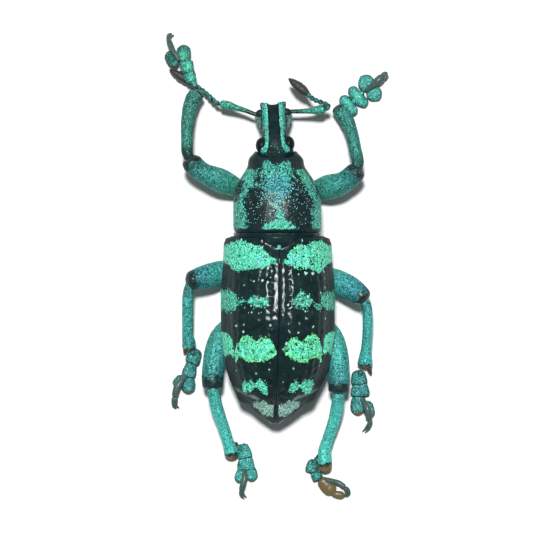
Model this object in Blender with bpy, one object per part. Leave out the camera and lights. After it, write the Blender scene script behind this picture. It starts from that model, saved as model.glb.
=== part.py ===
"""Eupholus linnei, a green and black weevil, as a still model at life size.

The animal stands on its six feet with the feelers spread. +Y is forward, +Z is up,
and the origin is on the floor under the middle of the box that holds the whole animal.
Sizes are in millimetres; the meshes are made in metres.
"""

import math

import bmesh
import bpy
import numpy as np
from mathutils import Vector

MM = 0.001

# Driving sizes of the animal
GAP = 0.3
FLOOR = 0.0
SLAB_DEPTH, SLAB_HALF = 2.0, 22.0
ROSTRUM_TILT = 24.0
COXA_SQUASH = 0.9

# Sides of the rings that the surfaces are drawn through
BODY_SIDES = 28
LEG_SIDES = 14
FOOT_SIDES = 10
FEELER_SIDES = 10

# Where the midline of the body runs: y, x
MIDLINE = [(-12.3, -0.08), (-6.0, 0.10), (2.0, 0.08), (8.4, -0.06), (12.8, -0.34)]

# Prothorax: y, half width, top, bottom
PROTHORAX = [
    (8.42, 1.82, 5.70, 2.20),
    (8.10, 2.18, 6.02, 2.00),
    (7.75, 2.27, 6.34, 1.85),
    (7.40, 2.46, 6.62, 1.74),
    (6.90, 2.78, 6.93, 1.60),
    (6.40, 3.06, 7.17, 1.48),
    (5.80, 3.29, 7.38, 1.42),
    (5.20, 3.39, 7.52, 1.40),
    (4.40, 3.42, 7.63, 1.42),
    (3.60, 3.43, 7.63, 1.48),
    (3.00, 3.41, 7.52, 1.56),
    (2.66, 3.30, 7.32, 1.70),
]
PROTHORAX_ROUNDNESS = 2.15

# Elytra, the hard wing cases: y, half width, top, height of the side margin
ELYTRA = [
    (2.36, 3.60, 7.05, 3.60),
    (2.12, 3.98, 7.30, 3.42),
    (1.70, 4.20, 7.52, 3.35),
    (0.80, 4.23, 7.88, 3.30),
    (-0.70, 4.35, 8.26, 3.30),
    (-2.20, 4.44, 8.50, 3.30),
    (-4.20, 4.44, 8.55, 3.30),
    (-5.80, 4.33, 8.36, 3.30),
    (-7.20, 4.10, 7.92, 3.30),
    (-8.40, 3.86, 7.28, 3.30),
    (-9.30, 3.46, 6.64, 3.28),
    (-10.00, 3.12, 6.05, 3.25),
    (-10.50, 2.84, 5.55, 3.20),
    (-10.80, 2.24, 5.18, 3.15),
    (-11.20, 1.76, 4.82, 3.10),
    (-11.60, 1.28, 4.40, 3.05),
    (-11.95, 0.78, 4.00, 3.02),
    (-12.22, 0.36, 3.66, 3.00),
]
ELYTRA_ROUNDNESS = 2.45

# Underside, below the wing cases: y, half width, bottom
METATHORAX = [
    (2.32, 2.95, 1.80),
    (1.90, 3.45, 1.62),
    (1.00, 3.85, 1.50),
    (-1.00, 4.00, 1.45),
    (-3.00, 4.05, 1.40),
    (-4.15, 4.02, 1.42),
]
ABDOMEN = [
    (-4.45, 3.88, 1.42),
    (-5.90, 3.74, 1.34),
    (-6.05, 3.72, 1.44),
    (-7.30, 3.56, 1.42),
    (-7.45, 3.53, 1.52),
    (-8.50, 3.30, 1.56),
    (-8.65, 3.26, 1.66),
    (-9.50, 2.98, 1.80),
    (-9.65, 2.90, 1.90),
    (-10.50, 2.35, 2.10),
    (-11.20, 1.50, 2.36),
    (-11.70, 0.80, 2.60),
    (-11.92, 0.35, 2.72),
]
UNDERSIDE_ROUNDNESS = 1.75

# Head and rostrum, the snout: distance along the axis, half width, half height, roundness
HEAD = [
    (0.00, 1.56, 1.42, 2.1),
    (0.45, 1.46, 1.38, 2.1),
    (0.95, 1.16, 1.30, 2.2),
    (1.45, 0.98, 1.20, 2.4),
    (2.10, 0.91, 1.10, 2.6),
    (2.50, 0.91, 1.06, 2.7),
    (2.90, 0.91, 1.02, 2.8),
    (3.20, 0.93, 0.98, 2.8),
    (3.50, 0.95, 0.95, 2.8),
    (3.90, 0.96, 0.88, 2.8),
    (4.14, 0.88, 0.76, 2.8),
]
NECK = (-0.07, 8.74, 3.92)
HEAD_TURN = 3.0
GROOVE_HALF_WIDTH = 0.42
GROOVE_DEPTH = 0.22
GROOVE_START = 0.75
FLARE = [(1.85, 0.0), (2.90, 0.42), (3.20, 0.30), (3.50, 0.0)]
SCROBE_AT = (3.48, 0.86, -0.05)
SCROBE_SIZE = (0.30, 0.42, 0.34)
MANDIBLE_AT = (4.12, 0.30, -0.30)
MANDIBLE_SIZE = (0.30, 0.34, 0.22)
TIP_HOLLOW = 0.16
EYE_AT = (1.10, 0.72, 0.28)
EYE_SIZE = (0.42, 0.64, 0.56)

# Each leg is a row of stations from the body outwards: x, y, z, half width, half height
FEMORA = {
    "front_left": [
        (-1.86, 5.60, 0.98, 0.40, 0.40),
        (-2.38, 5.85, 1.20, 0.56, 0.56),
        (-3.16, 6.20, 1.62, 0.74, 0.72),
        (-4.25, 6.67, 2.35, 0.96, 0.90),
        (-5.03, 7.02, 2.80, 0.95, 0.90),
        (-5.73, 7.42, 3.10, 0.82, 0.80),
        (-6.36, 7.94, 3.30, 0.80, 0.74),
        (-6.80, 8.58, 3.42, 0.72, 0.66),
    ],
    "front_right": [
        (1.92, 5.54, 0.98, 0.40, 0.40),
        (2.46, 5.77, 1.20, 0.56, 0.56),
        (3.24, 6.04, 1.62, 0.76, 0.72),
        (4.41, 6.28, 2.35, 0.96, 0.88),
        (5.12, 6.54, 2.80, 0.90, 0.86),
        (5.72, 6.96, 3.08, 0.84, 0.80),
        (6.18, 7.42, 3.28, 0.80, 0.74),
        (6.48, 7.98, 3.42, 0.70, 0.66),
    ],
    "middle_left": [
        (-2.28, 0.16, 0.98, 0.40, 0.40),
        (-3.16, -0.12, 1.24, 0.60, 0.58),
        (-4.25, -0.43, 1.68, 0.88, 0.84),
        (-5.19, -0.68, 2.25, 0.93, 0.88),
        (-5.97, -0.90, 2.68, 0.88, 0.84),
        (-6.55, -1.06, 2.98, 0.80, 0.76),
        (-7.12, -1.20, 3.15, 0.66, 0.64),
    ],
    "middle_right": [
        (2.52, -0.04, 0.90, 0.40, 0.38),
        (3.40, -0.50, 1.12, 0.56, 0.54),
        (4.46, -1.05, 1.66, 0.90, 0.82),
        (5.30, -1.47, 2.25, 0.98, 0.90),
        (6.02, -1.86, 2.68, 0.92, 0.86),
        (6.56, -2.14, 2.98, 0.82, 0.76),
        (7.08, -2.40, 3.15, 0.66, 0.64),
    ],
    "hind_left": [
        (-2.82, -4.12, 0.95, 0.40, 0.40),
        (-3.58, -4.48, 1.22, 0.57, 0.55),
        (-4.28, -5.38, 1.68, 0.82, 0.78),
        (-4.72, -6.67, 2.15, 0.90, 0.86),
        (-4.93, -7.84, 2.50, 0.86, 0.82),
        (-4.99, -8.85, 2.85, 0.82, 0.76),
        (-4.99, -9.66, 3.02, 0.72, 0.66),
    ],
    "hind_right": [
        (2.96, -4.12, 0.95, 0.40, 0.40),
        (3.68, -4.50, 1.20, 0.56, 0.54),
        (4.28, -5.38, 1.66, 0.82, 0.78),
        (4.66, -6.67, 2.15, 0.90, 0.86),
        (4.82, -7.84, 2.50, 0.86, 0.82),
        (4.88, -8.85, 2.85, 0.82, 0.76),
        (4.86, -9.92, 3.02, 0.74, 0.66),
    ],
}
TIBIAE = {
    "front_left": [
        (-6.96, 9.12, 3.20, 0.42, 0.42),
        (-7.00, 9.87, 3.00, 0.48, 0.46),
        (-6.97, 11.04, 2.65, 0.49, 0.46),
        (-6.83, 12.05, 2.35, 0.53, 0.48),
        (-6.52, 12.99, 2.08, 0.62, 0.52),
        (-6.22, 13.50, 1.95, 0.62, 0.50),
    ],
    "front_right": [
        (6.40, 8.62, 3.18, 0.42, 0.42),
        (6.08, 9.48, 2.80, 0.48, 0.46),
        (5.70, 10.62, 2.25, 0.52, 0.46),
        (5.36, 11.43, 1.85, 0.56, 0.48),
        (5.02, 12.05, 1.52, 0.62, 0.52),
        (4.66, 12.50, 1.34, 0.58, 0.48),
    ],
    "middle_left": [
        (-6.98, -2.10, 2.82, 0.40, 0.40),
        (-7.02, -3.10, 2.45, 0.41, 0.42),
        (-7.02, -4.60, 1.85, 0.42, 0.42),
        (-6.96, -5.70, 1.42, 0.46, 0.44),
        (-6.84, -6.40, 1.15, 0.58, 0.48),
    ],
    "middle_right": [
        (7.08, -3.10, 2.86, 0.38, 0.38),
        (7.04, -4.30, 2.42, 0.42, 0.42),
        (7.02, -5.73, 1.85, 0.43, 0.42),
        (6.98, -6.95, 1.38, 0.46, 0.44),
        (6.92, -7.80, 1.12, 0.60, 0.48),
    ],
    "hind_left": [
        (-4.88, -9.98, 2.72, 0.42, 0.42),
        (-4.64, -11.04, 2.35, 0.49, 0.46),
        (-4.22, -12.36, 1.78, 0.46, 0.44),
        (-3.79, -13.61, 1.30, 0.46, 0.44),
        (-3.55, -14.50, 1.02, 0.54, 0.48),
        (-3.50, -15.00, 0.90, 0.48, 0.46),
    ],
    "hind_right": [
        (4.82, -10.24, 2.72, 0.42, 0.42),
        (4.72, -11.10, 2.38, 0.49, 0.46),
        (4.41, -12.36, 1.85, 0.46, 0.44),
        (4.02, -13.53, 1.40, 0.45, 0.44),
        (3.74, -14.60, 1.12, 0.52, 0.48),
        (3.76, -15.42, 1.04, 0.48, 0.44),
    ],
}
COXAE = {
    "front_left": (-0.98, 5.15, 0.98, 0.68),
    "front_right": (1.04, 5.11, 0.98, 0.68),
    "middle_left": (-1.45, 0.43, 1.00, 0.62),
    "middle_right": (1.53, 0.43, 1.00, 0.62),
    "hind_left": (-1.95, -3.80, 0.98, 0.62),
    "hind_right": (2.07, -3.80, 0.98, 0.62),
}

# Feet: three lobed joints and the slender last joint with its two claws.
# ankle, first, second: x, y, z, half width; lobes: root and tip of each; last: path of the last joint
FEET = {
    "front_left": {
        "ankle": (-6.34, 14.06, 1.86),
        "first": (-6.64, 14.74, 1.80, 0.52),
        "second": (-7.00, 15.54, 1.64, 0.64),
        "lobes": [
            [(-7.56, 15.98, 1.14), (-8.16, 16.40, 0.38), (-8.52, 17.00, 0.10)],
            [(-7.22, 16.08, 1.14), (-7.22, 16.72, 0.38), (-7.12, 17.42, 0.10)],
        ],
        "last": [(-7.50, 16.00, 1.56), (-7.98, 16.64, 1.42), (-8.32, 17.36, 1.05), (-8.40, 17.80, 0.72)],
        "claws": [
            [(-8.36, 17.74, 0.74), (-8.48, 18.10, 0.48), (-8.30, 18.36, 0.20)],
            [(-8.30, 17.74, 0.74), (-8.16, 18.08, 0.48), (-7.94, 18.26, 0.20)],
        ],
        "lobe_size": (0.50, 0.26),
    },
    "front_right": {
        "ankle": (5.36, 12.72, 0.78),
        "first": (5.78, 12.90, 0.48, 0.72),
        "second": (6.48, 13.34, 0.32, 0.90),
        "lobes": [
            [(6.74, 13.72, 0.24), (6.98, 14.34, 0.22), (7.10, 15.00, 0.22)],
            [(6.98, 13.46, 0.24), (7.56, 13.60, 0.22), (8.26, 13.86, 0.22)],
        ],
        "last": [(6.84, 13.66, 0.46), (7.45, 14.20, 0.74), (8.07, 14.64, 0.82), (8.48, 14.92, 0.66)],
        "claws": [
            [(8.44, 14.92, 0.66), (8.62, 15.16, 0.44), (8.56, 15.20, 0.22)],
            [(8.46, 14.86, 0.66), (8.74, 14.98, 0.44), (8.78, 14.94, 0.22)],
        ],
        "lobe_size": (0.52, 0.26),
    },
    "middle_left": {
        "ankle": (-6.34, -6.66, 0.66),
        "first": (-6.38, -7.20, 0.44, 0.50),
        "second": (-6.64, -8.04, 0.32, 0.58),
        "lobes": [
            [(-6.90, -8.60, 0.24), (-7.20, -9.00, 0.22), (-7.30, -9.52, 0.22)],
            [(-6.66, -8.62, 0.24), (-6.66, -9.30, 0.22), (-6.74, -10.06, 0.22)],
        ],
        "last": [(-6.98, -8.66, 0.46), (-7.58, -9.50, 0.74), (-7.94, -10.26, 0.66), (-7.98, -10.62, 0.48)],
        "claws": [
            [(-7.98, -10.58, 0.50), (-8.14, -10.94, 0.36), (-8.02, -11.20, 0.22)],
            [(-7.92, -10.58, 0.50), (-7.82, -10.94, 0.36), (-7.62, -11.10, 0.22)],
        ],
        "lobe_size": (0.42, 0.26),
    },
    "middle_right": {
        "ankle": (6.66, -8.30, 0.72),
        "first": (6.52, -8.62, 0.46, 0.60),
        "second": (6.56, -9.44, 0.32, 0.68),
        "lobes": [
            [(6.48, -10.00, 0.24), (6.22, -10.80, 0.22), (6.16, -11.72, 0.22)],
            [(6.80, -10.00, 0.24), (7.18, -10.76, 0.22), (7.34, -11.66, 0.22)],
        ],
        "last": [(6.68, -10.02, 0.46), (6.92, -10.90, 0.76), (7.00, -11.80, 0.72), (6.98, -12.36, 0.52)],
        "claws": [
            [(6.94, -12.30, 0.52), (6.76, -12.68, 0.36), (6.66, -12.98, 0.22)],
            [(7.02, -12.30, 0.52), (7.12, -12.68, 0.36), (7.04, -12.98, 0.22)],
        ],
        "lobe_size": (0.46, 0.26),
    },
    "hind_left": {
        "ankle": (-2.58, -14.12, 0.62),
        "first": (-2.44, -14.52, 0.46, 0.50),
        "second": (-2.34, -15.42, 0.32, 0.66),
        "lobes": [
            [(-2.44, -15.92, 0.24), (-2.62, -16.50, 0.22), (-2.64, -17.16, 0.22)],
            [(-2.18, -15.92, 0.24), (-1.94, -16.60, 0.22), (-1.84, -17.46, 0.22)],
        ],
        "last": [(-2.46, -15.90, 0.46), (-2.72, -16.60, 0.76), (-2.86, -17.20, 0.70), (-2.78, -17.66, 0.50)],
        "claws": [
            [(-2.84, -17.60, 0.50), (-2.96, -17.96, 0.34), (-2.80, -18.26, 0.22)],
            [(-2.74, -17.60, 0.50), (-2.56, -17.98, 0.34), (-2.36, -18.26, 0.22)],
        ],
        "lobe_size": (0.44, 0.26),
    },
    "hind_right": {
        "ankle": (2.92, -15.20, 0.66),
        "first": (2.70, -15.62, 0.44, 0.48),
        "second": (2.98, -16.30, 0.32, 0.62),
        "lobes": [
            [(3.26, -16.64, 0.24), (3.62, -17.20, 0.22), (4.08, -17.92, 0.22)],
            [(3.46, -16.44, 0.24), (4.10, -16.94, 0.22), (4.66, -17.60, 0.22)],
        ],
        "last": [(3.44, -16.42, 0.46), (4.20, -16.62, 0.86), (5.00, -16.86, 0.86), (5.42, -17.14, 0.62)],
        "claws": [
            [(5.36, -17.10, 0.64), (5.62, -17.44, 0.42), (5.46, -17.74, 0.22)],
            [(5.30, -17.14, 0.64), (5.28, -17.56, 0.42), (5.04, -17.86, 0.22)],
        ],
        "lobe_size": (0.42, 0.26),
    },
}
FOOT_HALF_HEIGHT = 0.27
LAST_SIZE = (0.25, 0.25)
CLAW_SIZE = (0.19, 0.19)
CLAW_TIP = 0.08

# Feelers: the long scape, the beaded funicle and the pointed club
SCAPES = {
    "left": [
        (-1.72, 11.92, 2.32, 0.25),
        (-2.46, 12.20, 2.28, 0.25),
        (-3.47, 12.48, 2.12, 0.27),
        (-4.08, 12.66, 1.98, 0.35),
        (-4.46, 12.66, 1.90, 0.28),
    ],
    "right": [
        (1.08, 12.10, 2.34, 0.25),
        (2.22, 12.13, 2.40, 0.25),
        (3.00, 12.17, 2.46, 0.27),
        (3.48, 12.25, 2.52, 0.34),
        (3.86, 12.26, 2.54, 0.26),
    ],
}
FUNICLES = {
    "left": [(-4.74, 12.84, 1.70), (-5.34, 13.40, 1.16), (-5.86, 13.84, 0.78), (-6.38, 14.20, 0.62)],
    "right": [(4.06, 12.54, 3.12), (3.58, 12.76, 3.30), (3.10, 12.94, 3.18), (2.68, 13.18, 2.98)],
}
FUNICLE_JOINTS = 7
FUNICLE_BEAD = (0.22, 0.28)
CLUBS = {
    "left": [(-6.62, 14.36, 0.60), (-8.42, 15.46, 0.56)],
    "right": [(2.44, 13.46, 2.78), (0.92, 14.70, 2.58)],
}
CLUB_RADIUS = 0.40

# Colour, roughness and metallic value of each finish
FINISHES = {
    "black_shell": ((0.012, 0.016, 0.018), 0.25, 0.0),
    "banded_shell": ((0.03, 0.22, 0.14), 0.35, 0.3),
    "turquoise_scales": ((0.03, 0.30, 0.26), 0.45, 0.3),
    "eye": ((0.010, 0.010, 0.012), 0.15, 0.0),
    "dark_feeler": ((0.03, 0.045, 0.035), 0.4, 0.1),
}


def clear_scene():
    for obj in list(bpy.data.objects):
        bpy.data.objects.remove(obj)


def finish(name):
    """The material of that name, made once."""
    material = bpy.data.materials.get(name)
    if material is None:
        colour, roughness, metallic = FINISHES[name]
        material = bpy.data.materials.new(name)
        material.use_nodes = True
        shader = material.node_tree.nodes["Principled BSDF"]
        shader.inputs["Base Color"].default_value = (*colour, 1.0)
        shader.inputs["Roughness"].default_value = roughness
        shader.inputs["Metallic"].default_value = metallic
    return material


def curve_through(at, values, where):
    """Smooth values at the places where, through values at the places at, with no overshoot."""
    at, values = np.asarray(at, float), np.asarray(values, float)
    steps = np.diff(at)
    rises = np.diff(values) / steps
    slopes = np.zeros(len(at))
    slopes[0], slopes[-1] = rises[0], rises[-1]
    for i in range(1, len(at) - 1):
        if rises[i - 1] * rises[i] > 0:
            mean = (steps[i] * rises[i - 1] + steps[i - 1] * rises[i]) / (steps[i - 1] + steps[i])
            limit = 3 * min(abs(rises[i - 1]), abs(rises[i]))
            slopes[i] = math.copysign(min(abs(mean), limit), mean)
    where = np.clip(where, at[0], at[-1])
    piece = np.clip(np.searchsorted(at, where, side="right") - 1, 0, len(at) - 2)
    width = steps[piece]
    u = (where - at[piece]) / width
    start, end = values[piece], values[piece + 1]
    pull_start, pull_end = slopes[piece] * width, slopes[piece + 1] * width
    return (
        start * (1 + 2 * u) * (1 - u) ** 2
        + pull_start * u * (1 - u) ** 2
        + end * u * u * (3 - 2 * u)
        - pull_end * u * u * (1 - u)
    )


def midline(y):
    rows = np.array(MIDLINE)
    return float(curve_through(rows[:, 0], rows[:, 1], np.array([y]))[0])


def mesh_object(name, rings, first_pole, last_pole, finish_name):
    """A closed surface through rings of points, each end drawn to a pole. Points are in millimetres."""
    mesh = bmesh.new()
    rows = [[mesh.verts.new(Vector(p) * MM) for p in ring] for ring in rings]
    count = len(rows[0])
    for near, far in zip(rows, rows[1:]):
        for k in range(count):
            mesh.faces.new((near[k], near[(k + 1) % count], far[(k + 1) % count], far[k]))
    for row, pole in ((rows[0], first_pole), (rows[-1], last_pole)):
        tip = mesh.verts.new(Vector(pole) * MM)
        for k in range(count):
            mesh.faces.new((row[k], row[(k + 1) % count], tip))
    bmesh.ops.recalc_face_normals(mesh, faces=mesh.faces)
    data = bpy.data.meshes.new(name)
    mesh.to_mesh(data)
    mesh.free()
    data.materials.append(finish(finish_name))
    data.shade_smooth()
    data.set_sharp_from_angle(angle=math.radians(40))
    obj = bpy.data.objects.new(name, data)
    bpy.context.scene.collection.objects.link(obj)
    return obj


def places_along(length, round_start, round_end, middle, cap):
    """Distances of the rings along a limb, closer together where its ends are rounded."""
    turns = [math.pi / 2 * (k + 1) / cap for k in range(cap)]
    start = [round_start * (1 - math.cos(a)) for a in turns]
    end = [length - round_end * (1 - math.cos(a)) for a in reversed(turns)]
    between = np.linspace(start[-1], end[0], middle + 2)[1:-1]
    return np.array([*start, *between, *end])


def limb(name, stations, finish_name, sides, middle, rounding=(0.3, 0.3), cap=2, grow=0.0, up=(0, 0, 1)):
    """A rounded tube through stations of x, y, z, half width, half height. grow swells it all over."""
    rows = np.array(stations, float)
    run = np.concatenate([[0], np.cumsum(np.linalg.norm(np.diff(rows[:, :3], axis=0), axis=1))])
    length = run[-1]
    along = places_along(length, *rounding, middle, cap)
    points = np.stack([curve_through(run, rows[:, i], along) for i in range(3)], axis=1)
    wide, high = (curve_through(run, rows[:, i], along) for i in (3, 4))
    shrink = np.ones(len(along))
    for distance, reach in ((along, rounding[0]), (length - along, rounding[1])):
        near = distance < reach
        shrink[near] *= np.sqrt(1 - (1 - distance[near] / reach) ** 2)
    tangents = np.gradient(np.vstack([rows[0, :3], points, rows[-1, :3]]), axis=0)[1:-1]
    rings = []
    for point, tangent, w, h, s in zip(points, tangents, wide, high, shrink):
        forward = Vector(tangent).normalized()
        side = forward.cross(Vector(up)).normalized()
        top = side.cross(forward)
        ring = []
        for k in range(sides):
            a = math.tau * k / sides
            ring.append(
                Vector(point) + side * (w * s + grow) * math.cos(a) + top * (h * s + grow) * math.sin(a)
            )
        rings.append(ring)
    first, last = Vector(rows[0, :3]), Vector(rows[-1, :3])
    first -= Vector(tangents[0]).normalized() * grow
    last += Vector(tangents[-1]).normalized() * grow
    return mesh_object(name, rings, first, last, finish_name)


def rounded_ring(y, x, half_width, top, bottom, roundness, sides):
    """A ring across the body at y, wider or squarer as its roundness grows."""
    middle, half_height = (top + bottom) / 2, (top - bottom) / 2
    ring = []
    for k in range(sides):
        a = math.tau * k / sides
        c, s = math.cos(a), math.sin(a)
        ring.append(
            (
                x + half_width * math.copysign(abs(c) ** (2 / roundness), c),
                y,
                middle + half_height * math.copysign(abs(s) ** (2 / roundness), s),
            )
        )
    return ring


def ball(name, centre, size, finish_name, sides=12, rings=6, grow=0.0):
    """An egg shape with its poles along Y."""
    stations = []
    for k in range(1, rings):
        a = math.pi * k / rings
        y = centre[1] - (size[1] + grow) * math.cos(a)
        wide, high = (size[0] + grow) * math.sin(a), (size[2] + grow) * math.sin(a)
        stations.append(rounded_ring(y, centre[0], wide, centre[2] + high, centre[2] - high, 2, sides))
    first = (centre[0], centre[1] - size[1] - grow, centre[2])
    last = (centre[0], centre[1] + size[1] + grow, centre[2])
    return mesh_object(name, stations, first, last, finish_name)


def apply_modifiers(obj):
    graph = bpy.context.evaluated_depsgraph_get()
    made = bpy.data.meshes.new_from_object(obj.evaluated_get(graph))
    obj.modifiers.clear()
    obj.data = made


def keep_largest(obj):
    """Leaves only the closed surface that has the most volume."""
    mesh = bmesh.new()
    mesh.from_mesh(obj.data)
    bmesh.ops.triangulate(mesh, faces=mesh.faces)
    left, islands = set(mesh.faces), []
    while left:
        island, stack = [], [left.pop()]
        while stack:
            face = stack.pop()
            island.append(face)
            for edge in face.edges:
                for other in edge.link_faces:
                    if other in left:
                        left.remove(other)
                        stack.append(other)
        islands.append(island)

    def volume(island):
        return sum(a.co.dot(b.co.cross(c.co)) for a, b, c in (face.verts for face in island))

    islands.sort(key=volume)
    loose = [face for island in islands[:-1] for face in island]
    bmesh.ops.delete(mesh, geom=loose, context="FACES")
    bmesh.ops.delete(mesh, geom=[v for v in mesh.verts if not v.link_faces], context="VERTS")
    mesh.to_mesh(obj.data)
    mesh.free()
    obj.data.shade_smooth()
    obj.data.set_sharp_from_angle(angle=math.radians(40))


def boolean(obj, others, operation):
    """Joins the others to obj, or cuts them from it, and removes them."""
    pieces = bpy.data.collections.new(obj.name + "_pieces")
    for other in others:
        pieces.objects.link(other)
    modifier = obj.modifiers.new("join", "BOOLEAN")
    modifier.operand_type = "COLLECTION"
    modifier.collection = pieces
    modifier.operation = operation
    modifier.solver = "EXACT"
    apply_modifiers(obj)
    for other in others:
        bpy.data.objects.remove(other)
    bpy.data.collections.remove(pieces)
    keep_largest(obj)
    return obj


def floor_slab():
    """A block under the floor, which gives the soles their flats."""
    low, half = FLOOR - SLAB_DEPTH, SLAB_HALF
    rings = [[(-half, y, low), (half, y, low), (half, y, FLOOR), (-half, y, FLOOR)] for y in (-half, half)]
    poles = [(0, y, FLOOR - SLAB_DEPTH / 2) for y in (-half, half)]
    return mesh_object("slab", rings, *poles, "black_shell")


def prothorax(name="prothorax", grow=0.0):
    rings = [
        rounded_ring(y, midline(y), w + grow, top + grow, bottom - grow, PROTHORAX_ROUNDNESS, BODY_SIDES)
        for y, w, top, bottom in PROTHORAX
    ]
    front, back = PROTHORAX[0], PROTHORAX[-1]
    poles = [(midline(r[0]), r[0], (r[2] + r[3]) / 2) for r in (front, back)]
    return mesh_object(name, rings, *poles, "banded_shell")


def elytron(side):
    """One wing case, from the seam on the back to the margin on the flank."""
    dome = 13
    rings = []
    for y, half_width, top, margin in ELYTRA:
        x, seam = midline(y), GAP / 2
        arch = []
        for k in range(dome + 1):
            a = math.pi / 2 * k / dome
            arch.append(
                (
                    x + side * (seam + (half_width - seam) * math.sin(a) ** (2 / ELYTRA_ROUNDNESS)),
                    y,
                    margin + (top - margin) * abs(math.cos(a)) ** (2 / ELYTRA_ROUNDNESS),
                )
            )
        rings.append([(x + side * seam, y, margin), (x + side * seam, y, (margin + top) / 2), *arch])
    poles = [tuple(np.mean(rings[i], axis=0)) for i in (0, -1)]
    name = "elytron_right" if side > 0 else "elytron_left"
    return mesh_object(name, rings, *poles, "banded_shell")


def underside(name, rows, grow=0.0):
    """A flat-topped keel of the body, which lies under the wing cases."""
    arch = 18
    margins = np.array([(y, margin) for y, _, _, margin in ELYTRA])[::-1]
    rings = []
    for y, half_width, bottom in rows:
        x = midline(y)
        top = float(curve_through(margins[:, 0], margins[:, 1], np.array([y]))[0]) - GAP
        ring = []
        for k in range(arch + 1):
            a = math.pi * k / arch
            c, s = math.cos(a), math.sin(a)
            ring.append(
                (
                    x + (half_width + grow) * math.copysign(abs(c) ** (2 / UNDERSIDE_ROUNDNESS), c),
                    y,
                    top - (top - bottom + grow) * abs(s) ** (2 / UNDERSIDE_ROUNDNESS),
                )
            )
        rings.append(ring)
    poles = [tuple(np.mean(rings[i], axis=0)) for i in (0, -1)]
    return mesh_object(name, rings, *poles, "black_shell")


def head_frame(distance):
    """Centre, side, up and forward of the head at that distance along its axis."""
    turn = math.radians(HEAD_TURN)
    tilt = math.radians(ROSTRUM_TILT) * min(1.0, distance / 1.5)
    ahead = Vector((-math.sin(turn), math.cos(turn), 0))
    side = Vector((math.cos(turn), math.sin(turn), 0))
    reach, steps = Vector(NECK), 12
    for k in range(steps):
        part = math.radians(ROSTRUM_TILT) * min(1.0, distance * (k + 0.5) / steps / 1.5)
        reach += (ahead * math.cos(part) - Vector((0, 0, 1)) * math.sin(part)) * distance / steps
    forward = ahead * math.cos(tilt) - Vector((0, 0, 1)) * math.sin(tilt)
    return reach, side, side.cross(forward), forward


def head_point(distance, across, above):
    centre, side, top, _ = head_frame(distance)
    return centre + side * across + top * above


def head():
    """The head drawn out into the snout, grooved along its back and flared below the feelers."""
    rings = []
    for distance, wide, high, roundness in HEAD:
        flare = np.interp(distance, *np.array(FLARE).T)
        ring = []
        for k in range(BODY_SIDES):
            a = math.tau * k / BODY_SIDES
            c, s = math.cos(a), math.sin(a)
            across = wide * math.copysign(abs(c) ** (2 / roundness), c)
            above = high * math.copysign(abs(s) ** (2 / roundness), s)
            if s < 0:
                across += flare * c * min(1.0, -2 * s)
            if s > 0 and distance > GROOVE_START:
                dip = max(0.0, 1 - (across / GROOVE_HALF_WIDTH) ** 4)
                above -= GROOVE_DEPTH * dip * min(1.0, distance - GROOVE_START)
            ring.append(head_point(distance, across, above))
        rings.append(ring)
    tip = HEAD[-1][0]
    skull = mesh_object("head", rings, head_point(0, 0, 0), head_point(tip - TIP_HOLLOW, 0, 0), "black_shell")
    extras = []
    for side in (-1, 1):
        for name, place, size in (("scrobe", SCROBE_AT, SCROBE_SIZE), ("jaw", MANDIBLE_AT, MANDIBLE_SIZE)):
            along, across, above = place
            extras.append(ball(name, head_point(along, side * across, above), size, "black_shell", 10, 6))
    return boolean(skull, extras, "UNION")


def eye(side, grow=0.0):
    across, along, above = EYE_AT
    centre = head_point(along, side * across, above)
    name = "eye_right" if side > 0 else "eye_left"
    return ball(name, centre, EYE_SIZE, "eye", 14, 8, grow)


def coxa(leg):
    """The ball of the hip, cut to the body that it sits under."""
    x, y, z, radius = COXAE[leg]
    hip = ball(f"coxa_{leg}", (x, y, z), (radius, radius, radius * COXA_SQUASH), "black_shell", 14, 8)
    if leg.startswith("front"):
        body = prothorax("body", GAP)
    elif leg.startswith("middle"):
        body = underside("body", METATHORAX, GAP)
    else:
        body = underside("body", [*METATHORAX, *ABDOMEN], GAP)
    return boolean(hip, [body], "DIFFERENCE")


def foot(leg):
    """Three broad joints with padded soles, the slender last joint and its two claws."""
    spec = FEET[leg]
    ankle, first, second = (np.array(spec[k][:3]) for k in ("ankle", "first", "second"))
    wide_first, wide_second = spec["first"][3], spec["second"][3]
    lobe_wide, lobe_high = spec["lobe_size"]
    way = (second - first) / np.linalg.norm(second - first)

    def wedge(name, start, end, wide):
        """A joint that widens from its root to its end, along a straight line."""
        sizes = [(0.0, 0.28), (0.45, wide * 0.72), (1.0, wide)]
        path = [(*(start + (end - start) * share), w, FOOT_HALF_HEIGHT) for share, w in sizes]
        return limb(name, path, "turquoise_scales", FOOT_SIDES, 2, (0.16, 0.22))

    sole = wedge(f"tarsus_{leg}", first + way * 0.10, second + way * 0.36, wide_second)
    pieces = [wedge("first", ankle, first + way * 0.34, wide_first)]
    root = second + way * 0.06
    for lobe in spec["lobes"]:
        sizes = [(0.28, 0.24), (0.34, lobe_high), (lobe_wide, lobe_high), (lobe_wide * 0.92, lobe_high * 0.9)]
        path = [(*place, *size) for place, size in zip([root, *lobe], sizes)]
        pieces.append(limb("lobe", path, "turquoise_scales", FOOT_SIDES, 2, (0.2, 0.45), 2))
    last = [(*place, *LAST_SIZE) for place in [root + (0, 0, 0.06), *spec["last"]]]
    pieces.append(limb("last", last, "turquoise_scales", FOOT_SIDES - 2, 3, (0.2, 0.2)))
    for claw in spec["claws"]:
        sizes = [CLAW_SIZE, CLAW_SIZE, (CLAW_TIP, CLAW_TIP)]
        path = [(*place, *size) for place, size in zip(claw, sizes)]
        pieces.append(limb("claw", path, "black_shell", 6, 1, (0.12, 0.08)))
    boolean(sole, pieces, "UNION")
    return boolean(sole, [floor_slab()], "DIFFERENCE")


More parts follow.
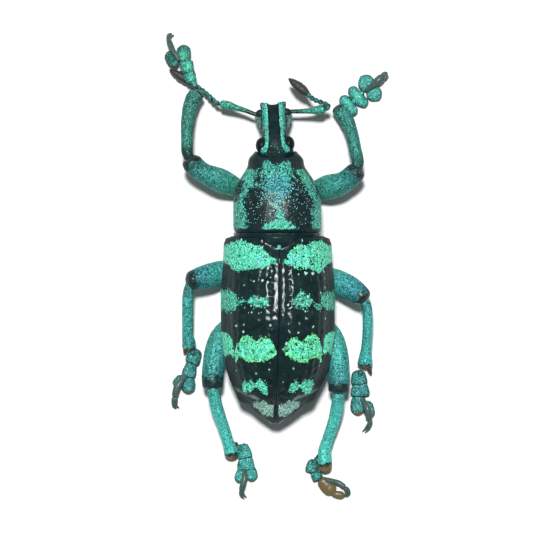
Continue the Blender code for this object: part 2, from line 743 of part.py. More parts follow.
def legs():
    for leg in FEMORA:
        coxa(leg)
        limb(f"femur_{leg}", FEMORA[leg], "turquoise_scales", LEG_SIDES, 5, (0.3, 0.55), 3)
        limb(f"tibia_{leg}", TIBIAE[leg], "turquoise_scales", LEG_SIDES - 2, 5, (0.3, 0.3), 2)
        foot(leg)


def funicle(side):
    """Seven beads in a row, each narrow at its root and full at its end."""
    rows = np.array(FUNICLES[side])
    run = np.concatenate([[0], np.cumsum(np.linalg.norm(np.diff(rows, axis=0), axis=1))])
    along, radii = [], []
    waist, full = FUNICLE_BEAD
    for joint in range(FUNICLE_JOINTS):
        for share, radius in ((0.06, waist), (0.72, full)):
            along.append((joint + share) / FUNICLE_JOINTS * run[-1])
            radii.append(radius)
    along.append(run[-1])
    radii.append(waist)
    points = np.stack([curve_through(run, rows[:, i], np.array(along)) for i in range(3)], axis=1)
    tangents = np.gradient(points, axis=0)
    rings = []
    for point, tangent, radius in zip(points, tangents, radii):
        forward = Vector(tangent).normalized()
        across = forward.cross(Vector((0, 0, 1))).normalized()
        top = across.cross(forward)
        turns = [math.tau * k / FEELER_SIDES for k in range(FEELER_SIDES)]
        rings.append([Vector(point) + (across * math.cos(a) + top * math.sin(a)) * radius for a in turns])
    return mesh_object(f"funicle_{side}", rings, rows[0], rows[-1], "dark_feeler")


def club(side):
    """A pointed spindle, fullest a third of the way along."""
    root, tip = (np.array(p) for p in CLUBS[side])
    shape = [(0.0, 0.70), (0.30, 1.0), (0.62, 0.88), (0.86, 0.52), (1.0, 0.22)]
    path = [(*(root + (tip - root) * s), CLUB_RADIUS * r, CLUB_RADIUS * r) for s, r in shape]
    return limb(f"club_{side}", path, "dark_feeler", FEELER_SIDES, 4, (0.25, 0.16))


def feelers():
    for side in SCAPES:
        path = [(x, y, z, r, r) for x, y, z, r in SCAPES[side]]
        limb(f"scape_{side}", path, "dark_feeler", FEELER_SIDES, 5, (0.12, 0.2))
        funicle(side)
        club(side)


clear_scene()
prothorax()
elytron(-1)
elytron(1)
underside("metathorax", METATHORAX)
underside("abdomen", ABDOMEN)
boolean(head(), [eye(-1, GAP), eye(1, GAP)], "DIFFERENCE")
eye(-1)
eye(1)
feelers()
legs()
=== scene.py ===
"""Eupholus linnei, a weevil of black shell and green scales, dried and set on its six feet.

+Y is forward, +Z is up, and sizes are in millimetres until a mesh is made.
"""
import math

import bpy
import numpy as np
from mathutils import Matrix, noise


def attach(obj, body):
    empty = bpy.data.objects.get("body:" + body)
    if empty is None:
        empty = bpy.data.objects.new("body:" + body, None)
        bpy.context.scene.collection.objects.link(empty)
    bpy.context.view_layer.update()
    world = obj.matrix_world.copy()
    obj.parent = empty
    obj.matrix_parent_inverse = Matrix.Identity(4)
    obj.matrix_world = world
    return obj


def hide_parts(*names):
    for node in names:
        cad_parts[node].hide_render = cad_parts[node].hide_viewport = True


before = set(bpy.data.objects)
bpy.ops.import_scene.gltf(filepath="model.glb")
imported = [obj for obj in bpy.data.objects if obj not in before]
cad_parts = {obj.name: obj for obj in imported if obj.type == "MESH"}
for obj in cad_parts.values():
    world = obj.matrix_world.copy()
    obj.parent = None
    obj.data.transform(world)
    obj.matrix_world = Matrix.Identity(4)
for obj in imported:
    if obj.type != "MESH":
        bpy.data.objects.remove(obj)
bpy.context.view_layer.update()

# Prothorax: the bell-shaped shield behind the head, one hard black shell, dimpled all over.
# Turquoise scales lie thick on its front and flanks and in a fan on its hind edge.
MM = 0.001
MIDLINE = np.array([(-12.3, -0.08), (-6.0, 0.10), (2.0, 0.08), (8.4, -0.06), (12.8, -0.34)])
PROTHORAX = np.array([
    (2.66, 3.30, 7.44, 1.70), (3.00, 3.41, 7.57, 1.56), (3.60, 3.43, 7.60, 1.48),
    (4.40, 3.42, 7.54, 1.42), (5.20, 3.39, 7.42, 1.40), (5.80, 3.29, 7.28, 1.42),
    (6.40, 3.06, 7.09, 1.48), (6.90, 2.78, 6.88, 1.60), (7.40, 2.46, 6.60, 1.74),
    (7.75, 2.25, 6.34, 1.85), (8.10, 2.12, 6.02, 2.00), (8.42, 1.86, 5.70, 2.20),
])
PROTHORAX_ROUNDNESS = 2.15
PROTHORAX_ROWS, PROTHORAX_SIDES = 110, 260
HIND_LIP, FRONT_LIP, LIP_ROUNDING = 0.10, 0.16, (0.80, 0.90, 0.955, 0.985)
FURROW_DEPTH, FURROW_HALF_WIDTH = 0.10, 0.60
DIMPLE_SPACING, DIMPLE_DEPTH = 0.30, 0.030


def curve_through(at, values, where):
    """Smooth values at the places where, through values at the places at, with no overshoot."""
    at, values = np.asarray(at, float), np.asarray(values, float)
    steps = np.diff(at)
    rises = np.diff(values) / steps
    slopes = np.zeros(len(at))
    slopes[0], slopes[-1] = rises[0], rises[-1]
    for i in range(1, len(at) - 1):
        if rises[i - 1] * rises[i] > 0:
            mean = (steps[i] * rises[i - 1] + steps[i - 1] * rises[i]) / (steps[i - 1] + steps[i])
            limit = 3 * min(abs(rises[i - 1]), abs(rises[i]))
            slopes[i] = math.copysign(min(abs(mean), limit), mean)
    where = np.clip(where, at[0], at[-1])
    piece = np.clip(np.searchsorted(at, where, side="right") - 1, 0, len(at) - 2)
    width = steps[piece]
    u = (where - at[piece]) / width
    start, end = values[piece], values[piece + 1]
    pull_start, pull_end = slopes[piece] * width, slopes[piece + 1] * width
    return (
        start * (1 + 2 * u) * (1 - u) ** 2
        + pull_start * u * (1 - u) ** 2
        + end * u * u * (3 - 2 * u)
        - pull_end * u * u * (1 - u)
    )


def columns_at(table, where):
    """Every column of a table after its first, read at the places where of the first."""
    return [curve_through(table[:, 0], table[:, i], where) for i in range(1, table.shape[1])]


def step_up(low, high, value):
    """0 below low, 1 above high, and a soft ramp between."""
    u = np.clip((value - low) / (high - low), 0, 1)
    return u * u * (3 - 2 * u)


def hump(value, middle, width):
    """1 at the middle, fading smoothly to nothing about two widths away."""
    return np.exp(-(((value - middle) / width) ** 2))


def stretch(value, start, full, ease, end):
    """1 from full to ease, with a soft ramp up from start and a soft ramp down to end."""
    return step_up(start, full, value) * step_up(end, ease, value)


def mottle(points, size, shift=0.0):
    """Cloudy noise from about -1 to 1, whose patches are size across, at each of the points."""
    flat = points.reshape(-1, 3) / size + (shift, 2 * shift, -shift)
    values = [noise.noise(p) for p in flat]
    return np.array(values).reshape(points.shape[:-1]) * 1.6


def unit(vectors):
    """The same directions, each one long."""
    return vectors / np.maximum(np.linalg.norm(vectors, axis=-1, keepdims=True), 1e-9)


def outward(grid):
    """The direction out of the surface at each point of a grid of rings."""
    around = np.roll(grid, -1, axis=1) - np.roll(grid, 1, axis=1)
    along = np.gradient(grid, axis=0)
    normals = unit(np.cross(around, along))
    away = grid - grid.mean(axis=1, keepdims=True)
    return normals * np.sign((normals * away).sum(-1).mean())


def evenly_round(ring, count):
    """A closed ring drawn again with count points the same distance apart."""
    closed = np.vstack([ring, ring[:1]])
    run = np.concatenate([[0], np.cumsum(np.linalg.norm(np.diff(closed, axis=0), axis=1))])
    places = np.linspace(0, run[-1], count + 1)[:-1]
    return np.stack([np.interp(places, run, closed[:, i]) for i in range(3)], axis=1)


def turned(corners, count):
    """Map corners in the other order round each face of count corners."""
    return corners.reshape(-1, count, 2)[:, ::-1].reshape(-1, 2)


def shell_piece(name, grid, **values):
    """A closed mesh through a grid of rings, with point values to colour it by and a map of its shape."""
    rows, sides = grid.shape[:2]
    corner = np.arange(rows * sides).reshape(rows, sides)
    near, far = corner[:-1], corner[1:]
    quads = np.stack([near, np.roll(near, -1, 1), np.roll(far, -1, 1), far], axis=-1).reshape(-1, 4)
    across, down = np.meshgrid(np.arange(sides) / sides, np.arange(rows - 1) / rows)
    wide, tall = 1 / sides, 1 / rows
    quad_map = np.stack([
        np.stack([across, down], -1), np.stack([across + wide, down], -1),
        np.stack([across + wide, down + tall], -1), np.stack([across, down + tall], -1),
    ], axis=2).reshape(-1, 2)
    poles = grid[[0, -1]].mean(axis=1)
    points = np.vstack([grid.reshape(-1, 3), poles])
    caps, cap_maps = ([], []), ([], [])
    for end, ring in enumerate((corner[0], corner[-1])):
        height = end * (1 - tall)
        for k in range(sides):
            caps[end].append((int(ring[k]), int(ring[(k + 1) % sides]), rows * sides + end))
            cap_maps[end].extend([(k * wide, height), ((k + 1) * wide, height), (k * wide, end)])
    cap_maps = [np.array(corners) for corners in cap_maps]
    middle = points.mean(axis=0)
    a, b, c = (points[quads[:, i]] - middle for i in range(3))
    inside_out = int((a * np.cross(b, c)).sum() < 0)
    faces = [tuple(q) for q in quads.tolist()]
    if inside_out:
        faces = [f[::-1] for f in faces]
        quad_map = turned(quad_map, 4)
    wrong_end, right_end = inside_out, 1 - inside_out
    cap_maps[wrong_end] = turned(cap_maps[wrong_end], 3)
    ends = {wrong_end: [f[::-1] for f in caps[wrong_end]], right_end: caps[right_end]}
    maps = np.vstack([quad_map, *cap_maps])
    mesh = bpy.data.meshes.new(name)
    mesh.from_pydata((points * MM).tolist(), [], faces + ends[0] + ends[1])
    mesh.uv_layers.new(name="shape").data.foreach_set("uv", maps.astype(np.float32).ravel())
    for label, amounts in values.items():
        kind, key = ("FLOAT", "value") if amounts.ndim == 2 else ("FLOAT_VECTOR", "vector")
        at_poles = amounts[[0, -1]].mean(axis=1)
        listed = np.concatenate([amounts.reshape(rows * sides, -1), at_poles.reshape(2, -1)])
        mesh.attributes.new(label, kind, "POINT").data.foreach_set(key, listed.astype(np.float32).ravel())
    mesh.shade_smooth()
    piece = bpy.data.objects.new(name, mesh)
    bpy.context.scene.collection.objects.link(piece)
    return piece


def new_material(name):
    """A new material, with its node tree and its shader."""
    material = bpy.data.materials.new(name)
    material.use_nodes = True
    return material, material.node_tree, material.node_tree.nodes["Principled BSDF"]


def put(tree, kind, links=(), **settings):
    """A node in the tree, with its settings, and its inputs linked or given a value."""
    made = tree.nodes.new(kind)
    for key, value in settings.items():
        setattr(made, key, value)
    for socket, source in dict(links).items():
        if hasattr(source, "is_output"):
            tree.links.new(source, made.inputs[socket])
        else:
            made.inputs[socket].default_value = source
    return made


def ramp(tree, factor, stops):
    """A colour ramp over factor, with its stops as place and colour."""
    made = put(tree, "ShaderNodeValToRGB", {"Fac": factor})
    elements = made.color_ramp.elements
    while len(elements) < len(stops):
        elements.new(0.5)
    for element, (place, colour) in zip(elements, stops):
        element.position, element.color = place, (*colour, 1.0)
    return made.outputs["Color"]


def effect_group(name, inputs, outputs):
    """An empty group for an effect that several materials share, with its named inputs and outputs."""
    group = bpy.data.node_groups.new(name, "ShaderNodeTree")
    for label, kind, value in inputs:
        group.interface.new_socket(label, in_out="INPUT", socket_type=kind).default_value = value
    for label, kind in outputs:
        group.interface.new_socket(label, in_out="OUTPUT", socket_type=kind)
    return group, put(group, "NodeGroupInput"), put(group, "NodeGroupOutput")


# The shell's own grain: cloudy patches for its colour and gloss, and fine pores for its relief.
shell_grain, taken, given = effect_group(
    "shell_grain",
    [("Patch", "NodeSocketFloat", 1500.0), ("Pore", "NodeSocketFloat", 22000.0),
     ("Depth", "NodeSocketFloat", 0.3)],
    [("Cloud", "NodeSocketFloat"), ("Normal", "NodeSocketVector")],
)
place = put(shell_grain, "ShaderNodeTexCoord").outputs["Object"]
cloud = put(shell_grain, "ShaderNodeTexNoise",
            {"Vector": place, "Scale": taken.outputs["Patch"], "Detail": 4.0, "Roughness": 0.6})
pinholes = put(shell_grain, "ShaderNodeTexNoise",
               {"Vector": place, "Scale": taken.outputs["Pore"], "Detail": 2.0, "Roughness": 0.55})
relief = put(shell_grain, "ShaderNodeBump",
             {"Height": pinholes.outputs["Fac"], "Strength": taken.outputs["Depth"], "Distance": 0.00002})
shell_grain.links.new(cloud.outputs["Fac"], given.inputs["Cloud"])
shell_grain.links.new(relief.outputs["Normal"], given.inputs["Normal"])

# The colours that scales take: pale grey, then from blue by way of turquoise and mint to yellow.
SCALE_COLOURS = [
    (0.00, (0.420, 0.800, 0.660)),
    (0.10, (0.070, 0.600, 0.700)),
    (0.25, (0.110, 0.780, 0.760)),
    (0.45, (0.120, 0.820, 0.690)),
    (0.65, (0.115, 0.830, 0.550)),
    (0.80, (0.135, 0.840, 0.460)),
    (1.00, (0.200, 0.850, 0.260)),
]
BLACK_SHELL = [(0.30, (0.0040, 0.0125, 0.0140)), (0.75, (0.0120, 0.0290, 0.0300))]
LEG_SHELL = [(0.30, (0.0040, 0.0150, 0.0160)), (0.75, (0.0120, 0.0340, 0.0350))]
# The pale colour of painted glints, and the top share of the shade range whose scales take it
GLINT_COLOUR = (0.500, 0.900, 0.860, 1)
SCALE_GLOSS, FEW_GLINTS = (0.32, 0.50), (0.94, 0.96)
# Brown, and the pale grey of wear and of painted reflection
RUST, WORN_AND_SHEEN = (0.165, 0.122, 0.050, 1), (0.170, 0.240, 0.210, 1)
UNDER_SCALES, DULL_UNDER_SCALES = 0.40, 0.7


def spread(tree, value, low, high, least, most):
    """A node that takes low to high onto least to most."""
    made = put(tree, "ShaderNodeMapRange", {
        "Value": value, "From Min": low, "From Max": high, "To Min": least, "To Max": most,
    })
    return made.outputs["Result"]


def scale_colour(tree, strength):
    """The colour of the scales at a place, from the tint and the dimness that are stored there."""
    tint, dim = (
        put(tree, "ShaderNodeAttribute", attribute_name=label).outputs["Fac"] for label in ("tint", "dim")
    )
    bright = put(tree, "ShaderNodeMath", {0: 1.0, 1: dim}, operation="SUBTRACT")
    amount = put(tree, "ShaderNodeMath", {0: bright.outputs[0], 1: strength}, operation="MULTIPLY")
    lit = put(tree, "ShaderNodeVectorMath", {0: ramp(tree, tint, SCALE_COLOURS), "Scale": amount.outputs[0]},
              operation="SCALE")
    return lit.outputs[0]


def shell_finish(name, stops, gloss, shine, patch=1500.0, pore=22000.0, under=UNDER_SCALES):
    """Hard shell: its bare colour, the ground under its scales, its brown, and its pale places of wear and
    painted reflection.
    """
    material, tree, shader = new_material(name)
    grain = put(tree, "ShaderNodeGroup", {"Patch": patch, "Pore": pore}, node_tree=shell_grain)
    colour = ramp(tree, grain.outputs["Cloud"], stops)
    cover, rust, worn, matt = (
        put(tree, "ShaderNodeAttribute", attribute_name=label).outputs["Fac"]
        for label in ("cover", "rust", "worn", "matt")
    )
    thick = spread(tree, cover, 0.25, 0.6, 0.0, 1.0)
    for factor, over in ((thick, scale_colour(tree, under)), (rust, RUST), (worn, WORN_AND_SHEEN)):
        mixed = put(tree, "ShaderNodeMix", {"Factor": factor, 6: colour, 7: over}, data_type="RGBA")
        colour = mixed.outputs[2]
    rough = spread(tree, grain.outputs["Cloud"], 0.3, 0.7, *gloss)
    most = put(tree, "ShaderNodeMath", {0: thick, 1: matt}, operation="MAXIMUM")
    dull = put(tree, "ShaderNodeMix", {"Factor": most.outputs[0], 2: rough, 3: DULL_UNDER_SCALES})
    tree.links.new(colour, shader.inputs["Base Color"])
    tree.links.new(dull.outputs[0], shader.inputs["Roughness"])
    tree.links.new(grain.outputs["Normal"], shader.inputs["Normal"])
    shader.inputs["Specular IOR Level"].default_value = shine
    return material


def scale_finish(name, metal, dark, light, glint_paling):
    """The scales themselves, each a little lighter or darker and duller than the next, and a few painted pale
    as glints.
    """
    material, tree, shader = new_material(name)
    shade = put(tree, "ShaderNodeAttribute", attribute_name="shade").outputs["Fac"]
    strength = spread(tree, shade, 0.0, 1.0, dark, light)
    glint = spread(tree, shade, 0.0, 1.0, *SCALE_GLOSS)
    # Painted glints: the scales at the top of the shade range are painted pale.
    painted_glint = spread(tree, shade, *FEW_GLINTS, 0.0, glint_paling)
    colour = put(tree, "ShaderNodeMix", {
        "Factor": painted_glint, 6: scale_colour(tree, strength), 7: GLINT_COLOUR,
    }, data_type="RGBA")
    tree.links.new(colour.outputs[2], shader.inputs["Base Color"])
    tree.links.new(glint, shader.inputs["Roughness"])
    shader.inputs["Metallic"].default_value = metal
    return material


def grained_finish(name, stops, gloss, patch, pore, depth=0.3):
    """A plain finish with the shell's grain in its colour and its relief, and its shader."""
    material, tree, shader = new_material(name)
    grain = put(tree, "ShaderNodeGroup", {"Patch": patch, "Pore": pore, "Depth": depth},
                node_tree=shell_grain)
    tree.links.new(ramp(tree, grain.outputs["Cloud"], stops), shader.inputs["Base Color"])
    tree.links.new(grain.outputs["Normal"], shader.inputs["Normal"])
    shader.inputs["Roughness"].default_value = gloss
    return material, shader


wing_shell = shell_finish("wing_shell", BLACK_SHELL, (0.05, 0.12), 0.14)
body_shell = shell_finish("body_shell", BLACK_SHELL, (0.30, 0.46), 0.10)
head_shell = shell_finish("head_shell", BLACK_SHELL, (0.34, 0.50), 0.05)
leg_shell = shell_finish("leg_shell", LEG_SHELL, (0.18, 0.30), 0.18, 2500.0, 30000.0, under=0.42)
back_scales = scale_finish("back_scales", 0.05, 0.32, 1.26, 0.75)
leg_scales = scale_finish("leg_scales", 0.50, 0.40, 1.12, 0.45)


def read(tree, name, kind="FLOAT_VECTOR"):
    """What a mesh holds under that name."""
    return put(tree, "GeometryNodeInputNamedAttribute", {"Name": name}, data_type=kind).outputs["Attribute"]


def store(tree, geometry, name, value, kind="FLOAT_VECTOR", domain="POINT"):
    """The mesh with a value kept on it under that name."""
    return put(tree, "GeometryNodeStoreNamedAttribute", {"Geometry": geometry, "Name": name, "Value": value},
               data_type=kind, domain=domain).outputs[0]


SCALE_CORNERS, SCALE_SIZES, SIZE_SEED = 6, (0.75, 1.15), 7
MOST_SCALES, SWAY_SHARES, MAP_PATCH = 9.0e8, (1, 1, 2.5), (0.003, 0.003, 0.0)


def scale_laying_tree():
    """Lays low six-sided scales over a surface, as thick as its cover says and along its lie."""
    tree = bpy.data.node_groups.new("lay_scales", "GeometryNodeTree")
    tree.is_modifier = True
    sockets = {
        "Surface": "Geometry", "Spacing": "Float", "Length": "Float", "Width": "Float", "Rise": "Float",
        "Tilt": "Float", "Lift": "Float", "Where": "String", "Seed": "Int", "Finish": "Material",
    }
    for label, kind in sockets.items():
        tree.interface.new_socket(label, in_out="INPUT", socket_type="NodeSocket" + kind)
    tree.interface.new_socket("Coat", in_out="OUTPUT", socket_type="NodeSocketGeometry")
    given = put(tree, "NodeGroupInput").outputs
    points = put(tree, "GeometryNodeDistributePointsOnFaces", {
        "Mesh": given["Surface"], "Distance Min": given["Spacing"], "Density Max": MOST_SCALES,
        "Density Factor": read(tree, given["Where"], "FLOAT"), "Seed": given["Seed"],
    }, distribute_method="POISSON")
    shade = put(tree, "FunctionNodeRandomValue", {"Seed": given["Seed"]}, data_type="FLOAT")
    shaded = store(tree, points.outputs["Points"], "shade", shade.outputs[1], "FLOAT")
    rooted = store(tree, shaded, "root", read(tree, "shape"))
    along = put(tree, "FunctionNodeAlignRotationToVector", {
        "Rotation": points.outputs["Rotation"], "Vector": read(tree, "lie"),
    }, axis="Y", pivot_axis="Z")
    down, up = (
        put(tree, "ShaderNodeVectorMath", {0: [way * share for share in SWAY_SHARES], "Scale": given["Tilt"]},
            operation="SCALE").outputs["Vector"]
        for way in (-1, 1)
    )
    sway = put(tree, "FunctionNodeRandomValue", {0: down, 1: up, "Seed": given["Seed"]},
               data_type="FLOAT_VECTOR")
    turn = put(tree, "FunctionNodeEulerToRotation", {"Euler": sway.outputs[0]})
    swung = put(tree, "FunctionNodeRotateRotation", {
        "Rotation": along.outputs["Rotation"], "Rotate By": turn.outputs["Rotation"],
    }, rotation_space="LOCAL")
    lift = put(tree, "ShaderNodeCombineXYZ", {"X": given["Lift"]})
    stood = put(tree, "FunctionNodeRotateRotation", {
        "Rotation": swung.outputs["Rotation"],
        "Rotate By": put(tree, "FunctionNodeEulerToRotation", {"Euler": lift.outputs[0]}).outputs["Rotation"],
    }, rotation_space="LOCAL")
    disc = put(tree, "GeometryNodeMeshCircle", {"Vertices": SCALE_CORNERS, "Radius": 0.5},
               fill_type="TRIANGLE_FAN")
    where = put(tree, "GeometryNodeInputPosition")
    reach = put(tree, "ShaderNodeVectorMath", {0: where.outputs[0]}, operation="LENGTH")
    crown = put(tree, "ShaderNodeMath", {0: reach.outputs["Value"], 1: -2.0, 2: 1.0},
                operation="MULTIPLY_ADD")
    crest = put(tree, "ShaderNodeCombineXYZ", {"Z": crown.outputs[0]})
    domed = put(tree, "GeometryNodeSetPosition", {"Geometry": disc.outputs[0], "Offset": crest.outputs[0]})
    flat = store(tree, domed.outputs[0], "patch", where.outputs[0])
    size = put(tree, "FunctionNodeRandomValue", {2: SCALE_SIZES[0], 3: SCALE_SIZES[1], "Seed": SIZE_SEED},
               data_type="FLOAT")
    box = put(tree, "ShaderNodeCombineXYZ", {"X": given["Width"], "Y": given["Length"], "Z": given["Rise"]})
    sized = put(tree, "ShaderNodeVectorMath", {0: box.outputs[0], "Scale": size.outputs[1]},
                operation="SCALE")
    laid = put(tree, "GeometryNodeInstanceOnPoints", {
        "Points": rooted, "Instance": flat,
        "Rotation": stood.outputs["Rotation"], "Scale": sized.outputs["Vector"],
    })
    real = put(tree, "GeometryNodeRealizeInstances", {"Geometry": laid.outputs[0]})
    spot = put(tree, "ShaderNodeVectorMath", {
        0: read(tree, "patch"), 1: MAP_PATCH, 2: read(tree, "root"),
    }, operation="MULTIPLY_ADD")
    mapped = store(tree, real.outputs[0], "OFBake", spot.outputs["Vector"], "FLOAT2", "CORNER")
    done = put(tree, "GeometryNodeSetMaterial", {"Geometry": mapped, "Material": given["Finish"]})
    put(tree, "NodeGroupOutput", {"Coat": done.outputs[0]})
    return tree


def laid_over(skin, name, tree, finish, **amounts):
    """What a laying tree puts on a skin, as a plain mesh of its own."""
    bed = bpy.data.objects.new(name + "_bed", skin.data)
    bpy.context.scene.collection.objects.link(bed)
    modifier = bed.modifiers.new("lay", "NODES")
    modifier.node_group = tree
    given = {**amounts, "Finish": finish}
    for item in tree.interface.items_tree:
        if item.in_out == "INPUT" and item.name in given:
            modifier[item.identifier] = given[item.name]
    graph = bpy.context.evaluated_depsgraph_get()
    mesh = bpy.data.meshes.new_from_object(bed.evaluated_get(graph), preserve_all_data_layers=True,
                                           depsgraph=graph)
    bed.modifiers.remove(modifier)
    bpy.data.objects.remove(bed)
    for label in ("cover", "rust", "worn", "matt", "brush", "lie", "root", "patch", "shape"):
        spare = mesh.attributes.get(label)
        if spare:
            mesh.attributes.remove(spare)
    mesh.name = name
    if not mesh.materials:
        mesh.materials.append(finish)
    coat = bpy.data.objects.new(name, mesh)
    bpy.context.scene.collection.objects.link(coat)
    return coat


lay_scales = scale_laying_tree()
SCALE_SPACING, SCALE_LENGTH, SCALE_WIDTH, SCALE_RISE, SCALE_TILT = 0.054, 0.096, 0.080, 0.012, 0.20


def scale_coat(skin, name, seed, finish=back_scales, size=1.0):
    """The scales of one skin, which ride on the animal with it."""
    coat = laid_over(
        skin, name, lay_scales, finish, Spacing=SCALE_SPACING * size * MM, Length=SCALE_LENGTH * size * MM,
        Width=SCALE_WIDTH * size * MM, Rise=SCALE_RISE * size * MM, Tilt=SCALE_TILT, Where="cover",
        Seed=seed,
    )
    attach(coat, "root")
    return coat


def place_piece(piece, finish, nodes=()):
    """Gives a piece its finish, and puts it on the animal in the place of its solids."""
    piece.data.materials.clear()
    piece.data.materials.append(finish)
    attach(piece, "root")
    if nodes:
        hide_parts(*nodes)
    return piece


def midline(y):
    """How far to the right the animal's middle is, at that place along it."""
    return curve_through(MIDLINE[:, 0], MIDLINE[:, 1], y)


RING_STEPS, ARCH_STEPS, HALF_RING_STEPS, DIMPLE_WIDTH = 720, 400, 300, 0.34


def oval_ring(y, x, half_width, top, bottom, roundness, count):
    """A ring across the body, squarer as its roundness grows, with its points evenly spread."""
    a = np.linspace(0, math.tau, RING_STEPS, endpoint=False)
    c, s = np.cos(a), np.sin(a)
    ring = np.stack([
        x + half_width * np.sign(c) * np.abs(c) ** (2 / roundness),
        np.full_like(a, y),
        (top + bottom) / 2 + (top - bottom) / 2 * np.sign(s) * np.abs(s) ** (2 / roundness),
    ], axis=1)
    return evenly_round(ring, count)


def dimples(points, spacing, seed):
    """Small round pits, 1 at their middles, scattered about spacing apart."""
    flat = points.reshape(-1, 3) / spacing + seed
    near = [noise.voronoi(p)[0][0] for p in flat]
    return hump(np.array(near), 0.0, DIMPLE_WIDTH).reshape(points.shape[:-1])


SPECK_DIM, EVEN_LIGHT, DIM_RANGE = 0.70, 0.10, (-0.35, 0.92)
# The seed of each group's scales or hairs, to which a side or a limb adds its own number
SEEDS = {
    "prothorax": 11, "scutellum": 12, "elytron": 20, "underside": 31, "head": 41, "femur": 50, "coxa": 60,
    "tibia": 70, "tarsus": 80, "scape": 90, "funicle": 95, "fringe": 130, "sole": 140,
}
SIDES = ((-1, "left"), (1, "right"))


def specks(points, size=0.09):
    """Where the scales are darker, in specks about a scale or two across."""
    return step_up(0.0, 0.5, mottle(points, size, 31.0))


def clad(name, skin, shell, coat, seed, nodes=(), slot=None, size=1.0, **values):
    """A skin of shell in the place of some solids, and the coat of scales that lies on it."""
    values["lie"] = unit(np.gradient(skin, axis=0))
    values["dim"] = np.clip(values.get("dim", 0) + SPECK_DIM * specks(skin) - EVEN_LIGHT, *DIM_RANGE)
    piece = place_piece(shell_piece(name + "_shell", skin, **values), shell, nodes)
    scale_coat(piece, name + "_scales", seed, coat, size)
    return piece


# Where the scales of the flanks begin and end beside the midline, left and right, and how wide
# the middle patch and the fan on the hind edge are
FLANK_LEFT = np.array([
    (2.85, 2.38, 3.50), (4.25, 2.46, 3.50), (4.95, 2.61, 3.30), (5.50, 2.38, 2.95), (5.97, 2.07, 2.75),
    (6.36, 1.66, 2.62), (7.37, 1.52, 2.75), (7.60, 1.90, 2.60),
])
FLANK_RIGHT = np.array([
    (2.85, 2.69, 3.35), (4.02, 2.69, 3.35), (4.56, 2.85, 3.35), (5.19, 2.77, 3.30), (5.81, 2.46, 3.10),
    (6.28, 1.99, 2.95), (6.75, 1.83, 2.70), (7.37, 1.60, 2.30), (7.62, 1.75, 2.10),
])
FORE_PATCH = np.array([
    (4.10, 0.26, 0.50), (4.90, 0.46, 0.52), (5.30, 0.86, 0.44), (5.90, 1.00, 0.48), (6.60, 1.05, 0.76),
    (7.50, 1.18, 0.86), (8.30, 1.25, 0.80),
])
FAN = np.array([
    (2.84, 1.42), (3.05, 1.36), (3.24, 1.12), (3.40, 0.92), (3.54, 0.60), (3.70, 0.34), (4.30, 0.24),
])
FURROW_SPAN, FAN_SPAN, FLANK_SPAN = (2.7, 4.2, 6.4, 7.6), (2.84, 2.92, 4.2, 4.4), (2.86, 3.0, 7.52, 7.66)
SPECKLE_SPAN, MIDDLE_SPAN, BLUE_SIDE_SPAN = (2.9, 3.3, 7.0, 7.9), (3.8, 5.2, 6.0, 7.0), (6.0, 6.6, 7.0, 7.7)
FORE_EDGE, FAN_AT, FORE_AT = 8.16, 0.15, 0.06
LOBE_REACH, LOBE_LEAN, LOBE_HEIGHT, LOBE_TALL = 0.56, 0.26, 4.4, 1.2
LOBE_SIDE, LOBE_FROM = (0.85, 1.65), 7.75

hind, front = PROTHORAX[0, 0], PROTHORAX[-1, 0]
rolled = len(LIP_ROUNDING)
ys = np.concatenate([
    np.full(rolled, hind), np.linspace(hind, front, PROTHORAX_ROWS - 2 * rolled), np.full(rolled, front),
])
draw_in = np.ones(PROTHORAX_ROWS)
draw_in[:rolled], draw_in[-rolled:] = LIP_ROUNDING, LIP_ROUNDING[::-1]
half_widths, tops, bottoms = columns_at(PROTHORAX, ys)
grid = []
for y, w, top, bottom, k in zip(ys, half_widths, tops, bottoms, draw_in):
    mid, half = (top + bottom) / 2, (top - bottom) / 2
    lip = HIND_LIP if y == hind else FRONT_LIP if y == front else 0.0
    back = lip * (1 - k) / (1 - LIP_ROUNDING[0]) * (1 if y == hind else -1)
    grid.append(oval_ring(y + back, midline(y), w * k, mid + half * k, mid - half * k,
                          PROTHORAX_ROUNDNESS, PROTHORAX_SIDES))
grid = np.array(grid)
side = grid[..., 0] - midline(grid[..., 1])
lobe = step_up(*LOBE_SIDE, np.abs(side)) * hump(grid[..., 2], LOBE_HEIGHT, LOBE_TALL)
reach = lobe * step_up(LOBE_FROM, front, grid[..., 1])
grid[..., 0] -= np.sign(side) * LOBE_LEAN * reach * step_up(0.4, 1.0, reach)
grid[..., 1] += LOBE_REACH * reach
side = grid[..., 0] - midline(grid[..., 1])
normals = outward(grid)
y = grid[..., 1]
upper = step_up(-0.2, 0.3, normals[..., 2])
furrow = FURROW_DEPTH * hump(side, 0.0, FURROW_HALF_WIDTH) * upper * stretch(y, *FURROW_SPAN)
pits = dimples(grid, DIMPLE_SPACING, 3.0)
skin = grid - normals * (furrow + DIMPLE_DEPTH * pits)[..., None]

ragged = 0.16 * mottle(grid, 0.42) + 0.16 * mottle(grid, 0.15, 5.0)
clouds = mottle(grid, 0.8, 9.0)
fan = step_up(-0.06, 0.14, columns_at(FAN, y)[0] - np.abs(side - FAN_AT) + 1.2 * ragged)
fan *= stretch(y, *FAN_SPAN)
fore_width, fore_cover = columns_at(FORE_PATCH, y)
beside = np.abs(side - FORE_AT)
fore = fore_cover * step_up(-0.30, 0.30, fore_width - beside + 2.2 * ragged)
front_edge = FORE_EDGE - 0.30 * step_up(0.55, 0.30, beside) - 0.45 * step_up(0.95, 1.25, beside)
fore *= step_up(3.9, 4.2, y) * step_up(0.06, -0.06, y - front_edge + 0.9 * ragged)
flank = np.zeros(grid.shape[:2])
for beside, edges in ((-side, FLANK_LEFT), (side, FLANK_RIGHT)):
    inner_edge, outer_edge = columns_at(edges, y)
    outward_room = np.where(outer_edge > 3.28, 9.0, outer_edge - beside)
    within = np.minimum(beside - inner_edge, outward_room) + 1.2 * ragged
    flank = np.maximum(flank, step_up(-0.10, 0.16, within) * (beside > 0))
